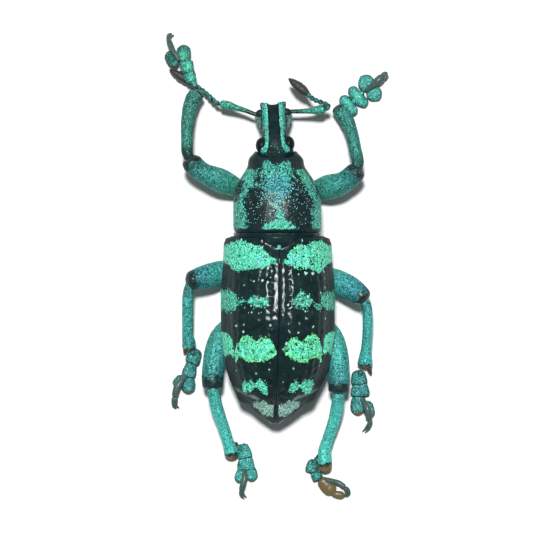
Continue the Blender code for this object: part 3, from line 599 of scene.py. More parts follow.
flank *= stretch(y, *FLANK_SPAN) * step_up(2.3, 3.6, grid[..., 2] + 1.5 * ragged)
speckle = (0.04 + 0.06 * step_up(4.8, 6.4, y)) * stretch(y, *SPECKLE_SPAN) * upper * (1.0 + 0.5 * clouds)
speckle += 0.24 * hump(side, 0.0, 1.1) * stretch(y, *MIDDLE_SPAN)
gaps = step_up(0.05, 0.50, mottle(grid, 0.105, 15.0))
cover = np.maximum.reduce([0.95 * fan * (1 - 0.7 * gaps), fore * (1 - 0.85 * gaps),
                           (0.86 + 0.12 * clouds) * flank * (1 - 0.9 * gaps), speckle])
cover *= 1 - 0.75 * step_up(0.45, 0.9, pits)
cover *= 1 - step_up(7.50, 7.66, y) * step_up(1.12, 1.30, np.abs(side) + 0.5 * ragged)
tint = 0.02 + 0.63 * fan
blue = 0.15 * step_up(5.1, 6.7, y + 2.5 * ragged) + 0.33 * step_up(6.7, 7.6, y + 1.5 * ragged)
blue += 0.26 * step_up(0.55, 1.05, np.abs(side) + ragged) * stretch(y, *BLUE_SIDE_SPAN)
tint = np.where((fore > 0.1) & (fan < 0.3), 0.02 + blue, tint)
flank_tint = 0.55 + 0.12 * (side > 0) * step_up(6.2, 6.8, y)
tint = np.where((flank > 0.3) & (fore < 0.3), flank_tint, tint) + 0.03 * clouds
dim = np.where(flank > 0.3, 0.15, 0.0)
dim = np.where(fore > 0.1, 0.22 * step_up(5.4, 6.6, y), dim)
dim = np.where(fan > 0.3, 0.02, dim)
dim = np.where((fore > 0.1) & (fan < 0.3), dim - 0.35 * step_up(6.4, 5.4, y), dim)
clad("prothorax", skin, body_shell, back_scales, SEEDS["prothorax"], ["prothorax"], "banded_shell",
     size=0.78, cover=cover, tint=tint, dim=dim)

# Collar and scutellum: the narrow black ring that joins the shield to the wing cases, and the
# little scaled plate where they meet it.
COLLAR = np.array([
    (1.55, 3.30, 7.00, 2.10), (2.00, 3.42, 7.22, 2.00), (2.50, 3.36, 7.24, 1.92), (3.00, 3.10, 7.12, 1.95),
])
COLLAR_CREST_AT, COLLAR_CREST = 2.52, 0.07
COLLAR_ROWS, COLLAR_SIDES = 30, 160
SCUTELLUM_AT, SCUTELLUM_SIZE, SCUTELLUM_GRID = (0.20, 1.50, 7.58), (0.15, 0.18, 0.10), (18, 28)


def egg(centre, size, rows, sides):
    """A grid of rings for an egg shape with its poles along Y."""
    a = np.linspace(0, math.pi, rows + 2)[1:-1, None]
    b = np.linspace(0, math.tau, sides, endpoint=False)[None, :]
    return np.stack([
        centre[0] + size[0] * np.sin(a) * np.cos(b),
        centre[1] - size[1] * np.cos(a) + 0 * b,
        centre[2] + size[2] * np.sin(a) * np.sin(b),
    ], axis=-1)


FINE_PITS = (0.24, 0.02)


def pitted(grid, spacing, depth, seed):
    """A grid with small pits sunk in it."""
    return grid - outward(grid) * (depth * dimples(grid, spacing, seed))[..., None]


ys = np.linspace(COLLAR[0, 0], COLLAR[-1, 0], COLLAR_ROWS)
grid = np.array([
    oval_ring(y, midline(y), w, top, bottom, PROTHORAX_ROUNDNESS, COLLAR_SIDES)
    for y, w, top, bottom in zip(ys, *columns_at(COLLAR, ys))
])
crest = COLLAR_CREST * hump(grid[..., 1], COLLAR_CREST_AT, 0.10) * (1 + 0.7 * mottle(grid, 0.18, 4.0))
grid = grid + outward(grid) * crest[..., None]
place_piece(shell_piece("collar", pitted(grid, 0.24, 0.03, 1.0)), wing_shell)
grid = egg(SCUTELLUM_AT, SCUTELLUM_SIZE, *SCUTELLUM_GRID)
full = np.ones(grid.shape[:2])
clad("scutellum", grid, body_shell, back_scales, SEEDS["scutellum"], cover=0.8 * full, tint=0.4 * full,
     size=0.8)

# Elytra: the two hard wing cases, closed over the back along a straight seam. Each has ten rows
# of deep pits with low ribs between, and four ragged bands of mint scales on glossy black.
ELYTRA = np.array([
    (-12.22, 0.36, 3.66, 3.00), (-11.95, 0.78, 4.00, 3.02), (-11.60, 1.28, 4.40, 3.05),
    (-11.20, 1.76, 4.82, 3.10), (-10.80, 2.24, 5.18, 3.15), (-10.50, 2.84, 5.55, 3.20),
    (-10.00, 3.12, 6.05, 3.25), (-9.30, 3.46, 6.64, 3.28), (-8.40, 3.86, 7.30, 3.30),
    (-7.20, 4.10, 7.96, 3.30), (-5.80, 4.33, 8.40, 3.30), (-4.40, 4.44, 8.55, 3.30),
    (-2.20, 4.44, 8.42, 3.30), (-0.70, 4.35, 8.20, 3.30), (0.80, 4.23, 7.90, 3.30),
    (1.70, 4.20, 7.62, 3.35), (2.12, 3.98, 7.42, 3.42), (2.36, 3.60, 7.15, 3.60),
])
ELYTRA_ROUNDNESS = 2.45
ELYTRON_ROWS, ELYTRON_SIDES, ELYTRON_SOLE = 300, 150, 8
SEAM_HALF_GAP = 0.012
SEAM_SHIFT = np.array([(-12.3, -0.02), (-9.0, 0.0), (-6.4, 0.02), (-3.4, 0.14), (-1.0, 0.16), (2.4, 0.12)])
NOTCH_DEPTH, NOTCH_HALF_WIDTH = 0.72, 1.70
PIT_ROWS, PIT_SPACING, PIT_RADIUS, PIT_DEPTH = 10, 0.60, 0.17, 0.11
FIRST_PITS, PIT_ROWS_WIDE = 0.95, 10.85
RIB_HEIGHT, SEAM_RIB_HEIGHT = 0.012, {-1: 0.005, 1: 0.030}
RIM_AT, RIM_HEIGHT, RIM_WIDTH = 2.12, 0.09, 0.10
CALLUS_AT, CALLUS_HEIGHT, CALLUS_WIDTH = -10.18, 0.10, 0.12
SEAM_DIP, SEAM_DIP_WIDTH = 0.05, 0.05
PIT_SLIP, PIT_SPREAD, PIT_SUNK = 0.09, 0.72, 0.15
MOST_SUNK, WIDEST_GIRTH, TAIL_FROM, PIT_SEED = 1.25, 7.6, -10.3, 40
# The bands' edges on each side: how far from the midline, and where the front and the hind edge
# are there. After each come its cover, its tint, its dimness and how ragged it is
FRONT_LEFT = np.array([
    (0.05, 0.45, 0.42), (0.13, 0.51, 0.35), (0.60, 0.82, 0.12), (0.91, 1.13, -0.04), (1.30, 1.60, -0.10),
    (1.85, 1.62, -0.20), (2.16, 1.83, -0.22), (2.94, 1.95, -0.36), (3.56, 1.86, -0.12), (3.88, 1.72, 0.20),
    (4.40, 1.48, 0.35),
])
FRONT_RIGHT = np.array([
    (0.40, 0.42, 0.38), (0.49, 0.51, 0.27), (0.96, 1.13, 0.12), (1.43, 1.60, -0.10), (1.74, 1.74, -0.14),
    (2.20, 1.58, -0.15), (2.68, 1.91, -0.24), (3.22, 1.97, -0.50), (3.61, 1.83, -0.14), (3.92, 1.66, 0.20),
    (4.40, 1.48, 0.35),
])
MIDDLE_LEFT = np.array([
    (0.68, -2.70, -2.75), (0.85, -2.42, -2.98), (1.50, -2.32, -3.10), (2.12, -2.45, -2.95),
    (2.30, -2.60, -2.80), (2.95, -2.55, -2.88), (3.15, -2.30, -3.10), (3.60, -1.90, -3.40),
    (4.50, -1.85, -3.40),
])
MIDDLE_RIGHT = np.array([
    (1.10, -2.60, -2.66), (1.35, -2.35, -3.15), (1.80, -1.92, -3.22), (2.30, -2.30, -3.10),
    (2.72, -2.55, -2.80), (2.90, -2.90, -3.25), (3.28, -2.95, -3.30), (3.40, -2.30, -3.05),
    (3.75, -2.00, -3.35), (4.50, -1.95, -3.40),
])
MAIN_LEFT = np.array([
    (0.08, -6.62, -6.70), (0.20, -6.30, -6.90), (0.46, -5.80, -7.10), (0.85, -5.50, -7.28),
    (1.25, -5.52, -7.30), (1.60, -5.86, -7.35), (1.95, -5.60, -7.35), (2.40, -5.32, -7.30),
    (2.75, -5.50, -7.08), (3.00, -5.85, -7.05), (3.22, -6.05, -7.38), (3.34, -6.80, -6.84),
])
MAIN_RIGHT = np.array([
    (0.34, -6.42, -6.46), (0.70, -6.02, -6.80), (1.00, -5.60, -7.05), (1.40, -5.48, -7.30),
    (1.80, -5.80, -7.40), (2.10, -5.55, -7.42), (2.35, -5.30, -7.35), (2.80, -5.25, -7.02),
    (3.15, -5.55, -7.12), (3.36, -6.10, -7.48), (3.46, -6.80, -6.84),
])
SIDE_LEFT = np.array([
    (3.40, -6.90, -7.00), (3.46, -6.10, -7.12), (3.70, -5.45, -6.75), (4.10, -5.15, -7.00),
    (4.60, -5.05, -7.00),
])
SIDE_RIGHT = np.array([
    (3.54, -6.50, -6.55), (3.62, -5.60, -6.80), (3.90, -5.20, -6.60), (4.20, -5.10, -6.95),
    (4.60, -5.05, -7.00),
])
REAR_LEFT = np.array([
    (0.68, -9.70, -9.85), (0.85, -9.00, -9.92), (1.25, -8.85, -9.62), (1.68, -8.95, -9.35),
    (1.78, -9.05, -9.45), (2.05, -8.88, -9.70), (2.55, -8.92, -9.70), (2.72, -9.15, -9.30),
])
REAR_RIGHT = np.array([
    (0.94, -9.60, -9.72), (1.15, -9.00, -9.78), (1.58, -8.95, -9.60), (1.78, -9.20, -9.30),
    (1.92, -8.95, -9.60), (2.40, -8.82, -9.72), (2.76, -8.90, -9.45), (2.88, -9.15, -9.20),
])
TAIL = np.array([
    (0.20, -10.80, -11.66), (0.70, -10.58, -11.60), (1.20, -10.46, -11.34), (1.80, -10.56, -10.92),
])
BANDS = {
    -1: [
        (FRONT_LEFT, 1.0, 0.68, -0.08, 0.10), (MIDDLE_LEFT, 0.85, 0.62, 0.08, 0.20),
        (MAIN_LEFT, 1.0, 0.84, -0.24, 0.10), (SIDE_LEFT, 0.95, 0.66, -0.45, 0.06),
        (REAR_LEFT, 0.95, 0.64, -0.22, 0.16), (TAIL, 0.75, -0.20, 0.06, 0.12)],
    1: [
        (FRONT_RIGHT, 1.0, 0.68, -0.08, 0.10), (MIDDLE_RIGHT, 0.85, 0.64, 0.20, 0.20),
        (MAIN_RIGHT, 1.0, 0.88, -0.24, 0.10), (SIDE_RIGHT, 0.95, 0.66, -0.45, 0.06),
        (REAR_RIGHT, 0.95, 0.64, -0.15, 0.16), (TAIL, 0.75, -0.20, 0.06, 0.12)],
}


def arch(half_width, top, margin, count):
    """Half an arch from the seam down to the side margin, with its points evenly spread."""
    a = np.linspace(0, math.pi / 2, ARCH_STEPS)
    across = SEAM_HALF_GAP + (half_width - SEAM_HALF_GAP) * np.sin(a) ** (2 / ELYTRA_ROUNDNESS)
    height = margin + (top - margin) * np.abs(np.cos(a)) ** (2 / ELYTRA_ROUNDNESS)
    run = np.concatenate([[0], np.cumsum(np.hypot(np.diff(across), np.diff(height)))])
    places = np.linspace(0, run[-1], count)
    return np.interp(places, run, across), np.interp(places, run, height), run[-1]


for side, name in SIDES:
    rng = np.random.default_rng(PIT_SEED + side)
    rear, base = ELYTRA[0, 0], ELYTRA[-1, 0]
    ys = np.linspace(rear, base, ELYTRON_ROWS)
    seam = midline(ys) + curve_through(SEAM_SHIFT[:, 0], SEAM_SHIFT[:, 1], ys)
    grid, girths = [], []
    for y, at, w, top, margin in zip(ys, seam, *columns_at(ELYTRA, ys)):
        reach = w - side * (at - midline(y))
        across, height, girth = arch(reach, top, margin, ELYTRON_SIDES)
        sole = np.linspace(1, 0, ELYTRON_SOLE + 1)[1:]
        xs = np.concatenate([across, SEAM_HALF_GAP + (reach - SEAM_HALF_GAP) * sole])
        zs = np.concatenate([height, np.full(ELYTRON_SOLE, margin)])
        grid.append(np.stack([at + side * xs, np.full_like(xs, y), zs], axis=1))
        girths.append(girth)
    grid, girths = np.array(grid), np.array(girths)[:, None]
    share = np.concatenate([np.linspace(0, 1, ELYTRON_SIDES), np.full(ELYTRON_SOLE, 2.0)])[None, :]
    from_seam = np.abs(grid[..., 0] - seam[:, None])
    notch = NOTCH_DEPTH * step_up(NOTCH_HALF_WIDTH, 0.1, from_seam)
    grid[..., 1] -= notch * step_up(0.6, base, grid[..., 1])
    normals = outward(grid)
    normals[:, 0] = normals[:, 1]
    y = grid[..., 1]
    pits = np.zeros(grid.shape[:2])
    for row in range(PIT_ROWS):
        first = rng.uniform(0, PIT_SPACING)
        number = np.round((y - first) / PIT_SPACING).astype(int)
        count = int(number.max() - number.min()) + 1
        which = number - number.min()
        slip, sway = (rng.uniform(-PIT_SLIP, PIT_SLIP, count)[which] for _ in range(2))
        wide, sunk = (rng.uniform(least, MOST_SUNK, count)[which] for least in (PIT_SPREAD, PIT_SUNK))
        off = (share - (row + FIRST_PITS) / PIT_ROWS_WIDE) * girths - 0.7 * sway
        ahead = y - first - number * PIT_SPACING - slip
        radius = PIT_RADIUS * wide * np.clip(girths / WIDEST_GIRTH, 0.45, 1.0)
        bowl = np.exp(-((off ** 2 + (0.85 * ahead) ** 2) / radius ** 2) ** 1.2)
        pits = np.maximum(pits, sunk / MOST_SUNK * bowl)
    ribs = 0.5 + 0.5 * np.cos(math.tau * (share * PIT_ROWS_WIDE - FIRST_PITS + 0.5))
    flat = 1 - step_up(0.15, 0.75, share)
    rib_height = np.where(share * PIT_ROWS_WIDE < 0.95, SEAM_RIB_HEIGHT[side], RIB_HEIGHT * flat)
    on_top = share <= 1
    ends = step_up(-12.1, -11.4, y) * step_up(2.3, 1.6, y + notch)
    depth = MOST_SUNK * PIT_DEPTH * (0.30 + 0.70 * flat)
    relief = (rib_height * ribs - depth * pits + 0.008 * mottle(grid, 0.30, 8.0)) * ends
    rim = RIM_HEIGHT * hump(y + notch, RIM_AT, RIM_WIDTH) * (1 + 0.5 * mottle(grid, 0.5, 4.0))
    callus = hump(y - 0.42 * (from_seam - 1.6), CALLUS_AT, CALLUS_WIDTH) * step_up(1.1, 1.5, from_seam)
    callus *= CALLUS_HEIGHT
    seam_dip = SEAM_DIP * hump(share * girths, 0.0, SEAM_DIP_WIDTH)
    relief = (relief + rim + callus * step_up(0.9, 0.6, share) - seam_dip) * step_up(1.0, 0.93, share)
    skin = grid + normals * relief[..., None]

    out = np.abs(grid[..., 0] - midline(y))
    cover, dim, tint = np.zeros(grid.shape[:2]), np.zeros(grid.shape[:2]), np.full(grid.shape[:2], 0.5)
    fine, coarse = mottle(grid, 0.13, 1.0), mottle(grid, 0.40, 6.0)
    gaps = step_up(0.32, 0.62, mottle(grid, 0.11, 21.0) + 0.4 * coarse) * (y > TAIL_FROM)
    for edges, thickness, hue, dimness, ragged in BANDS[side]:
        front_edge, hind_edge = columns_at(edges, out)
        within = np.minimum(front_edge - y, y - hind_edge) + ragged * (fine + 0.8 * coarse)
        inside = (out > edges[0, 0]) & ((out < edges[-1, 0]) | (edges[-1, 0] > 4.3))
        amount = thickness * step_up(-0.03, 0.04, within) * inside
        hue = hue + (hue > 0.7) * (0.20 * step_up(0.35, 0.0, within) - 0.12)
        tint = np.where(amount > cover, np.maximum(hue + 0.07 * coarse + 0.08 * fine, 0), tint)
        dim = np.where(amount > cover, dimness, dim)
        cover = np.maximum(cover, amount)
    tint -= 0.22 * hump(out, 1.3, 0.5) * hump(y, 0.6, 0.45)
    tint += 0.30 * hump(out, 1.35, 0.35) * hump(y, 1.5, 0.25) * (side > 0)
    cover *= (1 - 0.85 * step_up(0.45, 0.75, pits)) * on_top * (1 - 0.85 * gaps)
    # Pale scales in the deepest pits of the black zones, painted lighter still: real pale scales that also
    # stand in for small painted highlights at the pits.
    pale_pit_scales_and_glints = step_up(0.72, 0.84, pits) * (cover < 0.05) * step_up(0.62, 0.50, share) * ends
    in_pit = (pits > 0.2) & (cover < 0.05)
    tint, dim = np.where(in_pit, 0.0, tint), np.where(in_pit, -0.35, dim)
    cover = cover + 0.9 * pale_pit_scales_and_glints
    # Pale grey on the callus ridge and along the flank near the apex: wear and pale hairs, partly painted
    # reflection of light; on the tail patches it greys the scales.
    worn = 0.8 * callus / CALLUS_HEIGHT * step_up(0.9, 0.6, share)
    worn = worn + 0.5 * step_up(0.72, 0.86, share) * step_up(-10.4, -10.9, y)
    worn = np.clip(worn + 0.5 * step_up(0.3, 0.6, cover) * (y < TAIL_FROM), 0, 1)
    worn = worn * on_top * (0.7 + 0.4 * coarse)
    clad(f"elytron_{name}", skin, wing_shell, back_scales, SEEDS["elytron"] + side, [f"elytron_{name}"],
         "banded_shell", cover=cover, tint=tint, worn=worn, dim=dim,
         matt=0.85 * step_up(0.42, 0.68, share) + 0 * y)

# Underside: the plates of the hind thorax and the five rings of the belly, black with a dusting
# of turquoise scales along the flanks. They tuck up inside the wing cases.
UNDERSIDE = np.array([
    (-11.92, 0.35, 2.72), (-11.70, 0.80, 2.60), (-11.20, 1.50, 2.36), (-10.50, 2.35, 2.10),
    (-9.65, 2.90, 1.90), (-9.50, 2.98, 1.80), (-8.65, 3.26, 1.66), (-8.50, 3.30, 1.56),
    (-7.45, 3.53, 1.52), (-7.30, 3.56, 1.42), (-6.05, 3.72, 1.44), (-5.90, 3.74, 1.34),
    (-4.45, 3.88, 1.42), (-4.15, 4.02, 1.42), (-3.00, 4.05, 1.40), (-1.00, 4.00, 1.45),
    (1.00, 3.85, 1.50), (1.90, 3.45, 1.62), (2.32, 2.95, 1.80),
])
UNDERSIDE_ROUNDNESS, UNDERSIDE_LIFT = 1.75, 0.12
UNDERSIDE_ROWS, UNDERSIDE_SIDES = 240, 120
BELLY_PITS, BELLY_PIT_DEPTH = 0.34, 0.028
ys = np.linspace(UNDERSIDE[0, 0], UNDERSIDE[-1, 0], UNDERSIDE_ROWS)
margins = curve_through(ELYTRA[:, 0], ELYTRA[:, 3], ys) + UNDERSIDE_LIFT
grid = []
for y, w, bottom, margin in zip(ys, *columns_at(UNDERSIDE, ys), margins):
    a = np.linspace(0, math.pi, HALF_RING_STEPS)
    c, s = np.cos(a), np.abs(np.sin(a))
    ring = np.stack([
        midline(y) + w * np.sign(c) * np.abs(c) ** (2 / UNDERSIDE_ROUNDNESS), np.full_like(a, y),
        margin - (margin - bottom) * s ** (2 / UNDERSIDE_ROUNDNESS),
    ], axis=1)
    grid.append(evenly_round(ring, UNDERSIDE_SIDES))
grid = np.array(grid)
normals = outward(grid)
pits = dimples(grid, BELLY_PITS, 7.0)
skin = grid - normals * (BELLY_PIT_DEPTH * pits)[..., None]
side = np.abs(grid[..., 0] - midline(grid[..., 1]))
dust = step_up(1.6, 3.0, side + 0.8 * mottle(grid, 0.8, 3.0)) * step_up(0.3, -0.2, normals[..., 2])
cover = (0.06 + 0.62 * dust) * (1 - 0.8 * step_up(0.4, 0.9, pits)) * (normals[..., 2] < 0.6)
clad("underside", skin, body_shell, back_scales, SEEDS["underside"], ["metathorax", "abdomen"],
     "black_shell", cover=cover, tint=0.30 + 0.1 * mottle(grid, 1.0))

# Head and snout: one black shell, drawn out and bent down, with a deep glossy channel along its
# back between two raised edges. Mint scales fill the strip beside each edge.
ROSTRUM_TILT, HEAD_TURN, BEND_STEPS = 24.0, 3.0, 24
NECK = np.array((-0.07, 8.74, 3.92))
HEAD = np.array([
    (-0.80, 1.30, 1.18, 2.1), (0.00, 1.42, 1.32, 2.1), (0.45, 1.36, 1.40, 2.1), (0.95, 1.10, 1.42, 2.2),
    (1.45, 0.96, 1.28, 2.4), (2.10, 0.92, 1.12, 2.6), (2.90, 0.92, 1.02, 2.8), (3.50, 0.94, 0.95, 2.8),
    (3.80, 0.97, 0.90, 2.8), (4.00, 1.02, 0.86, 2.6), (4.10, 1.00, 0.82, 2.4), (4.14, 0.95, 0.79, 2.2),
])
GROOVE_HALF_WIDTH, GROOVE_DEPTH, GROOVE_START = 0.43, 0.26, 0.85
INNER_RIDGE, OUTER_RIDGE, RIDGE_HEIGHT = (0.50, 0.07), (0.84, 0.06), 0.045
HEAD_ROWS, HEAD_SIDES = 150, 200
TIP_HOLLOW, TIP_ROUNDING, NAPE_LENGTH = 0.34, 0.06, 1.5
TIP_DRAW_IN = (0.99, 0.97, 0.93, 0.86, 0.72, 0.5)
FLARE, FLARE_FROM, FLARE_RUN, FLARE_BEND = 0.60, 1.85, 1.40, 0.85
FLARE_END, FLARE_BELOW = (3.62, 3.38), (0.25, -0.45)
CHEEK_SPAN, FLANGE_SPAN = (0.6, 0.9, 3.2, 3.6), (1.95, 2.2, 3.5, 3.7)
STRIPE_BREAK = (1.56, 0.07)
STRIPE = np.array([
    (0.05, 0.80, 1.14), (0.35, 0.60, 1.10), (0.60, 0.50, 0.80), (0.90, 0.48, 0.76), (1.30, 0.47, 0.76),
    (1.60, 0.46, 0.82), (2.00, 0.45, 0.90), (4.10, 0.45, 0.93),
])


def head_frame(distance):
    """Centre, side, up and forward of the head at that distance along its bent axis."""
    turn, tilt = math.radians(HEAD_TURN), math.radians(ROSTRUM_TILT)
    ahead = np.array((-math.sin(turn), math.cos(turn), 0.0))
    side = np.array((math.cos(turn), math.sin(turn), 0.0))
    up = np.array((0.0, 0.0, 1.0))
    steps = (np.arange(BEND_STEPS) + 0.5) / BEND_STEPS * distance
    bend = tilt * np.clip(steps / NAPE_LENGTH, 0, 1)
    reach = NECK + (np.outer(np.cos(bend), ahead) - np.outer(np.sin(bend), up)).mean(axis=0) * distance
    bend = tilt * min(1.0, max(0.0, distance / NAPE_LENGTH))
    forward = ahead * math.cos(bend) - up * math.sin(bend)
    return reach, side, np.cross(side, forward), forward


def head_point(distance, across, above):
    """A place on the head, from how far along it, across it and above its axis it is."""
    centre, side, up, _ = head_frame(distance)
    return centre + side * across + up * above


neck_end, tip = HEAD[0, 0], HEAD[-1, 0]
rolled = len(TIP_DRAW_IN)
distances = np.concatenate([np.linspace(neck_end, tip, HEAD_ROWS - rolled), np.full(rolled, tip)])
draw_in = np.concatenate([np.ones(HEAD_ROWS - rolled), TIP_DRAW_IN])
grid, crosses, rises = [], [], []
for distance, k, w, h, roundness in zip(distances, draw_in, *columns_at(HEAD, distances)):
    ring = oval_ring(0, 0, w, h, -h, roundness, HEAD_SIDES)
    across, above = ring[:, 0] * k, ring[:, 2] * k
    flare = FLARE * np.clip((distance - FLARE_FROM) / FLARE_RUN, 0, 1) ** FLARE_BEND
    flare = flare * step_up(*FLARE_END, distance)
    across = across * (1 + flare / w * step_up(*FLARE_BELOW, above))
    dip = np.clip(1 - (across / GROOVE_HALF_WIDTH) ** 4, 0, 1) * (above > 0)
    ridge = hump(np.abs(across), *INNER_RIDGE) + 0.7 * hump(np.abs(across), *OUTER_RIDGE)
    fade = step_up(GROOVE_START, GROOVE_START + 0.4, distance)
    above = above - (GROOVE_DEPTH * dip - RIDGE_HEIGHT * ridge * (above > 0.3)) * fade
    hollow = TIP_HOLLOW * ((across / 0.95) ** 2 - 0.6) * step_up(3.6, tip, distance)
    ahead = hollow + TIP_ROUNDING * (1 - k)
    centre, side, up, forward = head_frame(distance)
    grid.append(centre + np.outer(across, side) + np.outer(above, up) + np.outer(ahead, forward))
    crosses.append(across)
    rises.append(above)
grid, crosses, rises = np.array(grid), np.abs(np.array(crosses)), np.array(rises)
normals = outward(grid)
along = distances[:, None] + 0 * crosses
in_groove = (crosses < 0.44) & (rises > 0.2) & (along > GROOVE_START)
skin = grid - normals * (np.where(in_groove, 0.008, 0.020) * dimples(grid, 0.20, 5.0))[..., None]
ragged = 0.04 * mottle(grid, 0.12) + 0.04 * mottle(grid, 0.35, 3.0)
inner_edge, outer_edge = columns_at(STRIPE, along)
stripe = step_up(-0.03, 0.05, outer_edge - crosses + ragged)
stripe *= step_up(-0.02, 0.03, crosses - inner_edge + 0.5 * ragged)
stripe *= (rises > 0.25) * step_up(0.02, 0.14, along + ragged) * step_up(4.10, 4.00, along)
# The outer part of each stripe has thinner scales, which darkens it as painted shade on its downward slope.
thin_and_shade = 0.45 * step_up(0.62, 0.80, crosses) * (along > 1.6)
stripe *= (1 - 0.8 * hump(along, *STRIPE_BREAK)) * (0.95 - thin_and_shade)
nape = 0.16 * (crosses < 0.8) * (rises > 0.4) * step_up(-0.05, 0.1, along) * step_up(0.75, 0.5, along)
cheek = 0.5 * step_up(0.2, -0.1, normals[..., 2] + ragged * 4) * stretch(along, *CHEEK_SPAN)
# Painted highlight: a pale line along the inner edge of each stripe.
edge_highlight = step_up(0.57, 0.51, crosses) * (stripe > 0.2) * (along > 0.6)
edge_highlight = edge_highlight * step_up(-0.35, 0.1, mottle(grid, 0.22, 12.0))
flange = step_up(0.97, 1.02, crosses) * (rises < 0.25) * stretch(along, *FLANGE_SPAN)
# The stripes' outer parts take a lower tint and more dimness as painted shade.
tint = np.where(stripe > 0.2, 0.60 - 0.16 * step_up(0.60, 0.80, crosses), 0.46)
tint = tint + 0.05 * mottle(grid, 0.5, 2.0)
near_tip = step_up(3.50, 4.00, along)
tint *= (1 - np.maximum(0.98 * edge_highlight, 0.96 * flange)) * (1 - 0.5 * near_tip)
dim = np.where(stripe > 0.2, 0.20 * step_up(0.56, 0.70, crosses) * (1 - edge_highlight), 0.60 - 0.05 * flange)
dim += 0.18 * near_tip
clad("head", skin, head_shell, back_scales, SEEDS["head"], ["head"], "black_shell", size=0.8,
     cover=np.maximum.reduce([stripe, cheek, nape, 0.75 * flange]), tint=tint, dim=dim)

# Sockets and jaws: the dark knobs where the feelers are hinged in the sides of the snout, and
# the two short biting jaws at its tip.
KNOB_GRID = (22, 30)
SNOUT_KNOBS = {
    "socket": ((3.50, 1.02, -0.10), (0.38, 0.34, 0.32)),
    "jaw": ((4.06, 0.30, -0.34), (0.28, 0.30, 0.20)),
}
for side, name in SIDES:
    for part, ((along, across, above), size) in SNOUT_KNOBS.items():
        grid = egg(head_point(along, side * across, above), size, *KNOB_GRID)
        place_piece(shell_piece(f"{part}_{name}", pitted(grid, 0.22, 0.02, 2.0)), body_shell)

# Eyes: two glossy black domes set in the sides of the head, made of hundreds of tiny facets.
EYE_AT, EYE_SIZE = (0.68, 1.05, 0.30), (0.47, 0.62, 0.62)
EYE_GRID, FACET_SIZE = (40, 56), 0.045
eye_finish, tree, shader = new_material("eye")
place = put(tree, "ShaderNodeTexCoord").outputs["Object"]
facets = put(tree, "ShaderNodeTexVoronoi",
             {"Vector": place, "Scale": 1 / (FACET_SIZE * MM), "Randomness": 0.25})
tone = ramp(tree, facets.outputs["Distance"], [(0.0, (0.010, 0.016, 0.020)), (0.7, (0.002, 0.003, 0.005))])
bump = put(tree, "ShaderNodeBump",
           {"Height": facets.outputs["Distance"], "Strength": 0.6, "Distance": 0.00001}, invert=True)
tree.links.new(tone, shader.inputs["Base Color"])
tree.links.new(bump.outputs["Normal"], shader.inputs["Normal"])
shader.inputs["Roughness"].default_value = 0.36
shader.inputs["Specular IOR Level"].default_value = 0.14
for side, name in SIDES:
    along, across, above = EYE_AT
    grid = egg(head_point(along, side * across, above), EYE_SIZE, *EYE_GRID)
    place_piece(shell_piece(f"eye_{name}_dome", grid), eye_finish, [f"eye_{name}"])

# Legs: six thighs and shins, clubbed tubes of dark shell under a close coat of turquoise scales,
# flecked with dark pores. The knees are nearly bare, black and glossy.
FEMORA = {
    "front_left": [
        (-1.86, 5.60, 0.98, 0.40, 0.40), (-2.38, 5.85, 1.20, 0.56, 0.56), (-3.16, 6.20, 1.62, 0.74, 0.72),
        (-4.37, 6.71, 2.40, 0.94, 0.88), (-5.03, 6.99, 2.78, 0.88, 0.86), (-5.62, 7.27, 3.02, 0.78, 0.78),
        (-6.08, 7.56, 3.20, 0.78, 0.74), (-6.48, 7.96, 3.34, 0.80, 0.74), (-6.80, 8.58, 3.42, 0.70, 0.64)],
    "front_right": [
        (1.92, 5.54, 0.98, 0.40, 0.40), (2.46, 5.77, 1.20, 0.56, 0.56), (3.30, 6.03, 1.62, 0.80, 0.74),
        (4.13, 6.22, 2.20, 0.97, 0.88), (4.91, 6.42, 2.68, 0.91, 0.86), (5.46, 6.74, 2.96, 0.82, 0.80),
        (6.00, 7.20, 3.22, 0.80, 0.78), (6.44, 7.76, 3.38, 0.68, 0.66)],
    "middle_left": [
        (-2.28, 0.16, 0.98, 0.40, 0.40), (-3.16, -0.12, 1.24, 0.60, 0.58), (-4.25, -0.45, 1.68, 0.92, 0.86),
        (-5.19, -0.72, 2.25, 0.97, 0.88), (-5.97, -0.92, 2.68, 0.88, 0.84), (-6.55, -1.06, 2.98, 0.76, 0.74),
        (-7.06, -1.18, 3.15, 0.62, 0.60)],
    "middle_right": [
        (2.52, -0.04, 0.90, 0.40, 0.38), (3.40, -0.50, 1.12, 0.56, 0.54), (4.46, -1.05, 1.66, 0.92, 0.84),
        (5.30, -1.45, 2.25, 0.96, 0.90), (6.02, -1.86, 2.68, 0.90, 0.84), (6.55, -2.24, 2.98, 0.78, 0.76),
        (7.00, -2.72, 3.10, 0.62, 0.62)],
    "hind_left": [
        (-2.82, -4.12, 0.95, 0.40, 0.40), (-3.58, -4.48, 1.22, 0.57, 0.55), (-4.28, -5.38, 1.68, 0.82, 0.78),
        (-4.72, -6.67, 2.15, 0.90, 0.86), (-4.93, -7.84, 2.50, 0.86, 0.82), (-4.99, -8.85, 2.80, 0.84, 0.74),
        (-4.99, -9.72, 2.90, 0.76, 0.56)],
    "hind_right": [
        (2.96, -4.12, 0.95, 0.40, 0.40), (3.68, -4.50, 1.20, 0.56, 0.54), (4.28, -5.38, 1.66, 0.82, 0.78),
        (4.66, -6.67, 2.15, 0.90, 0.86), (4.82, -7.84, 2.50, 0.86, 0.82), (4.88, -8.85, 2.82, 0.84, 0.76),
        (4.84, -10.02, 2.95, 0.80, 0.60)],
}
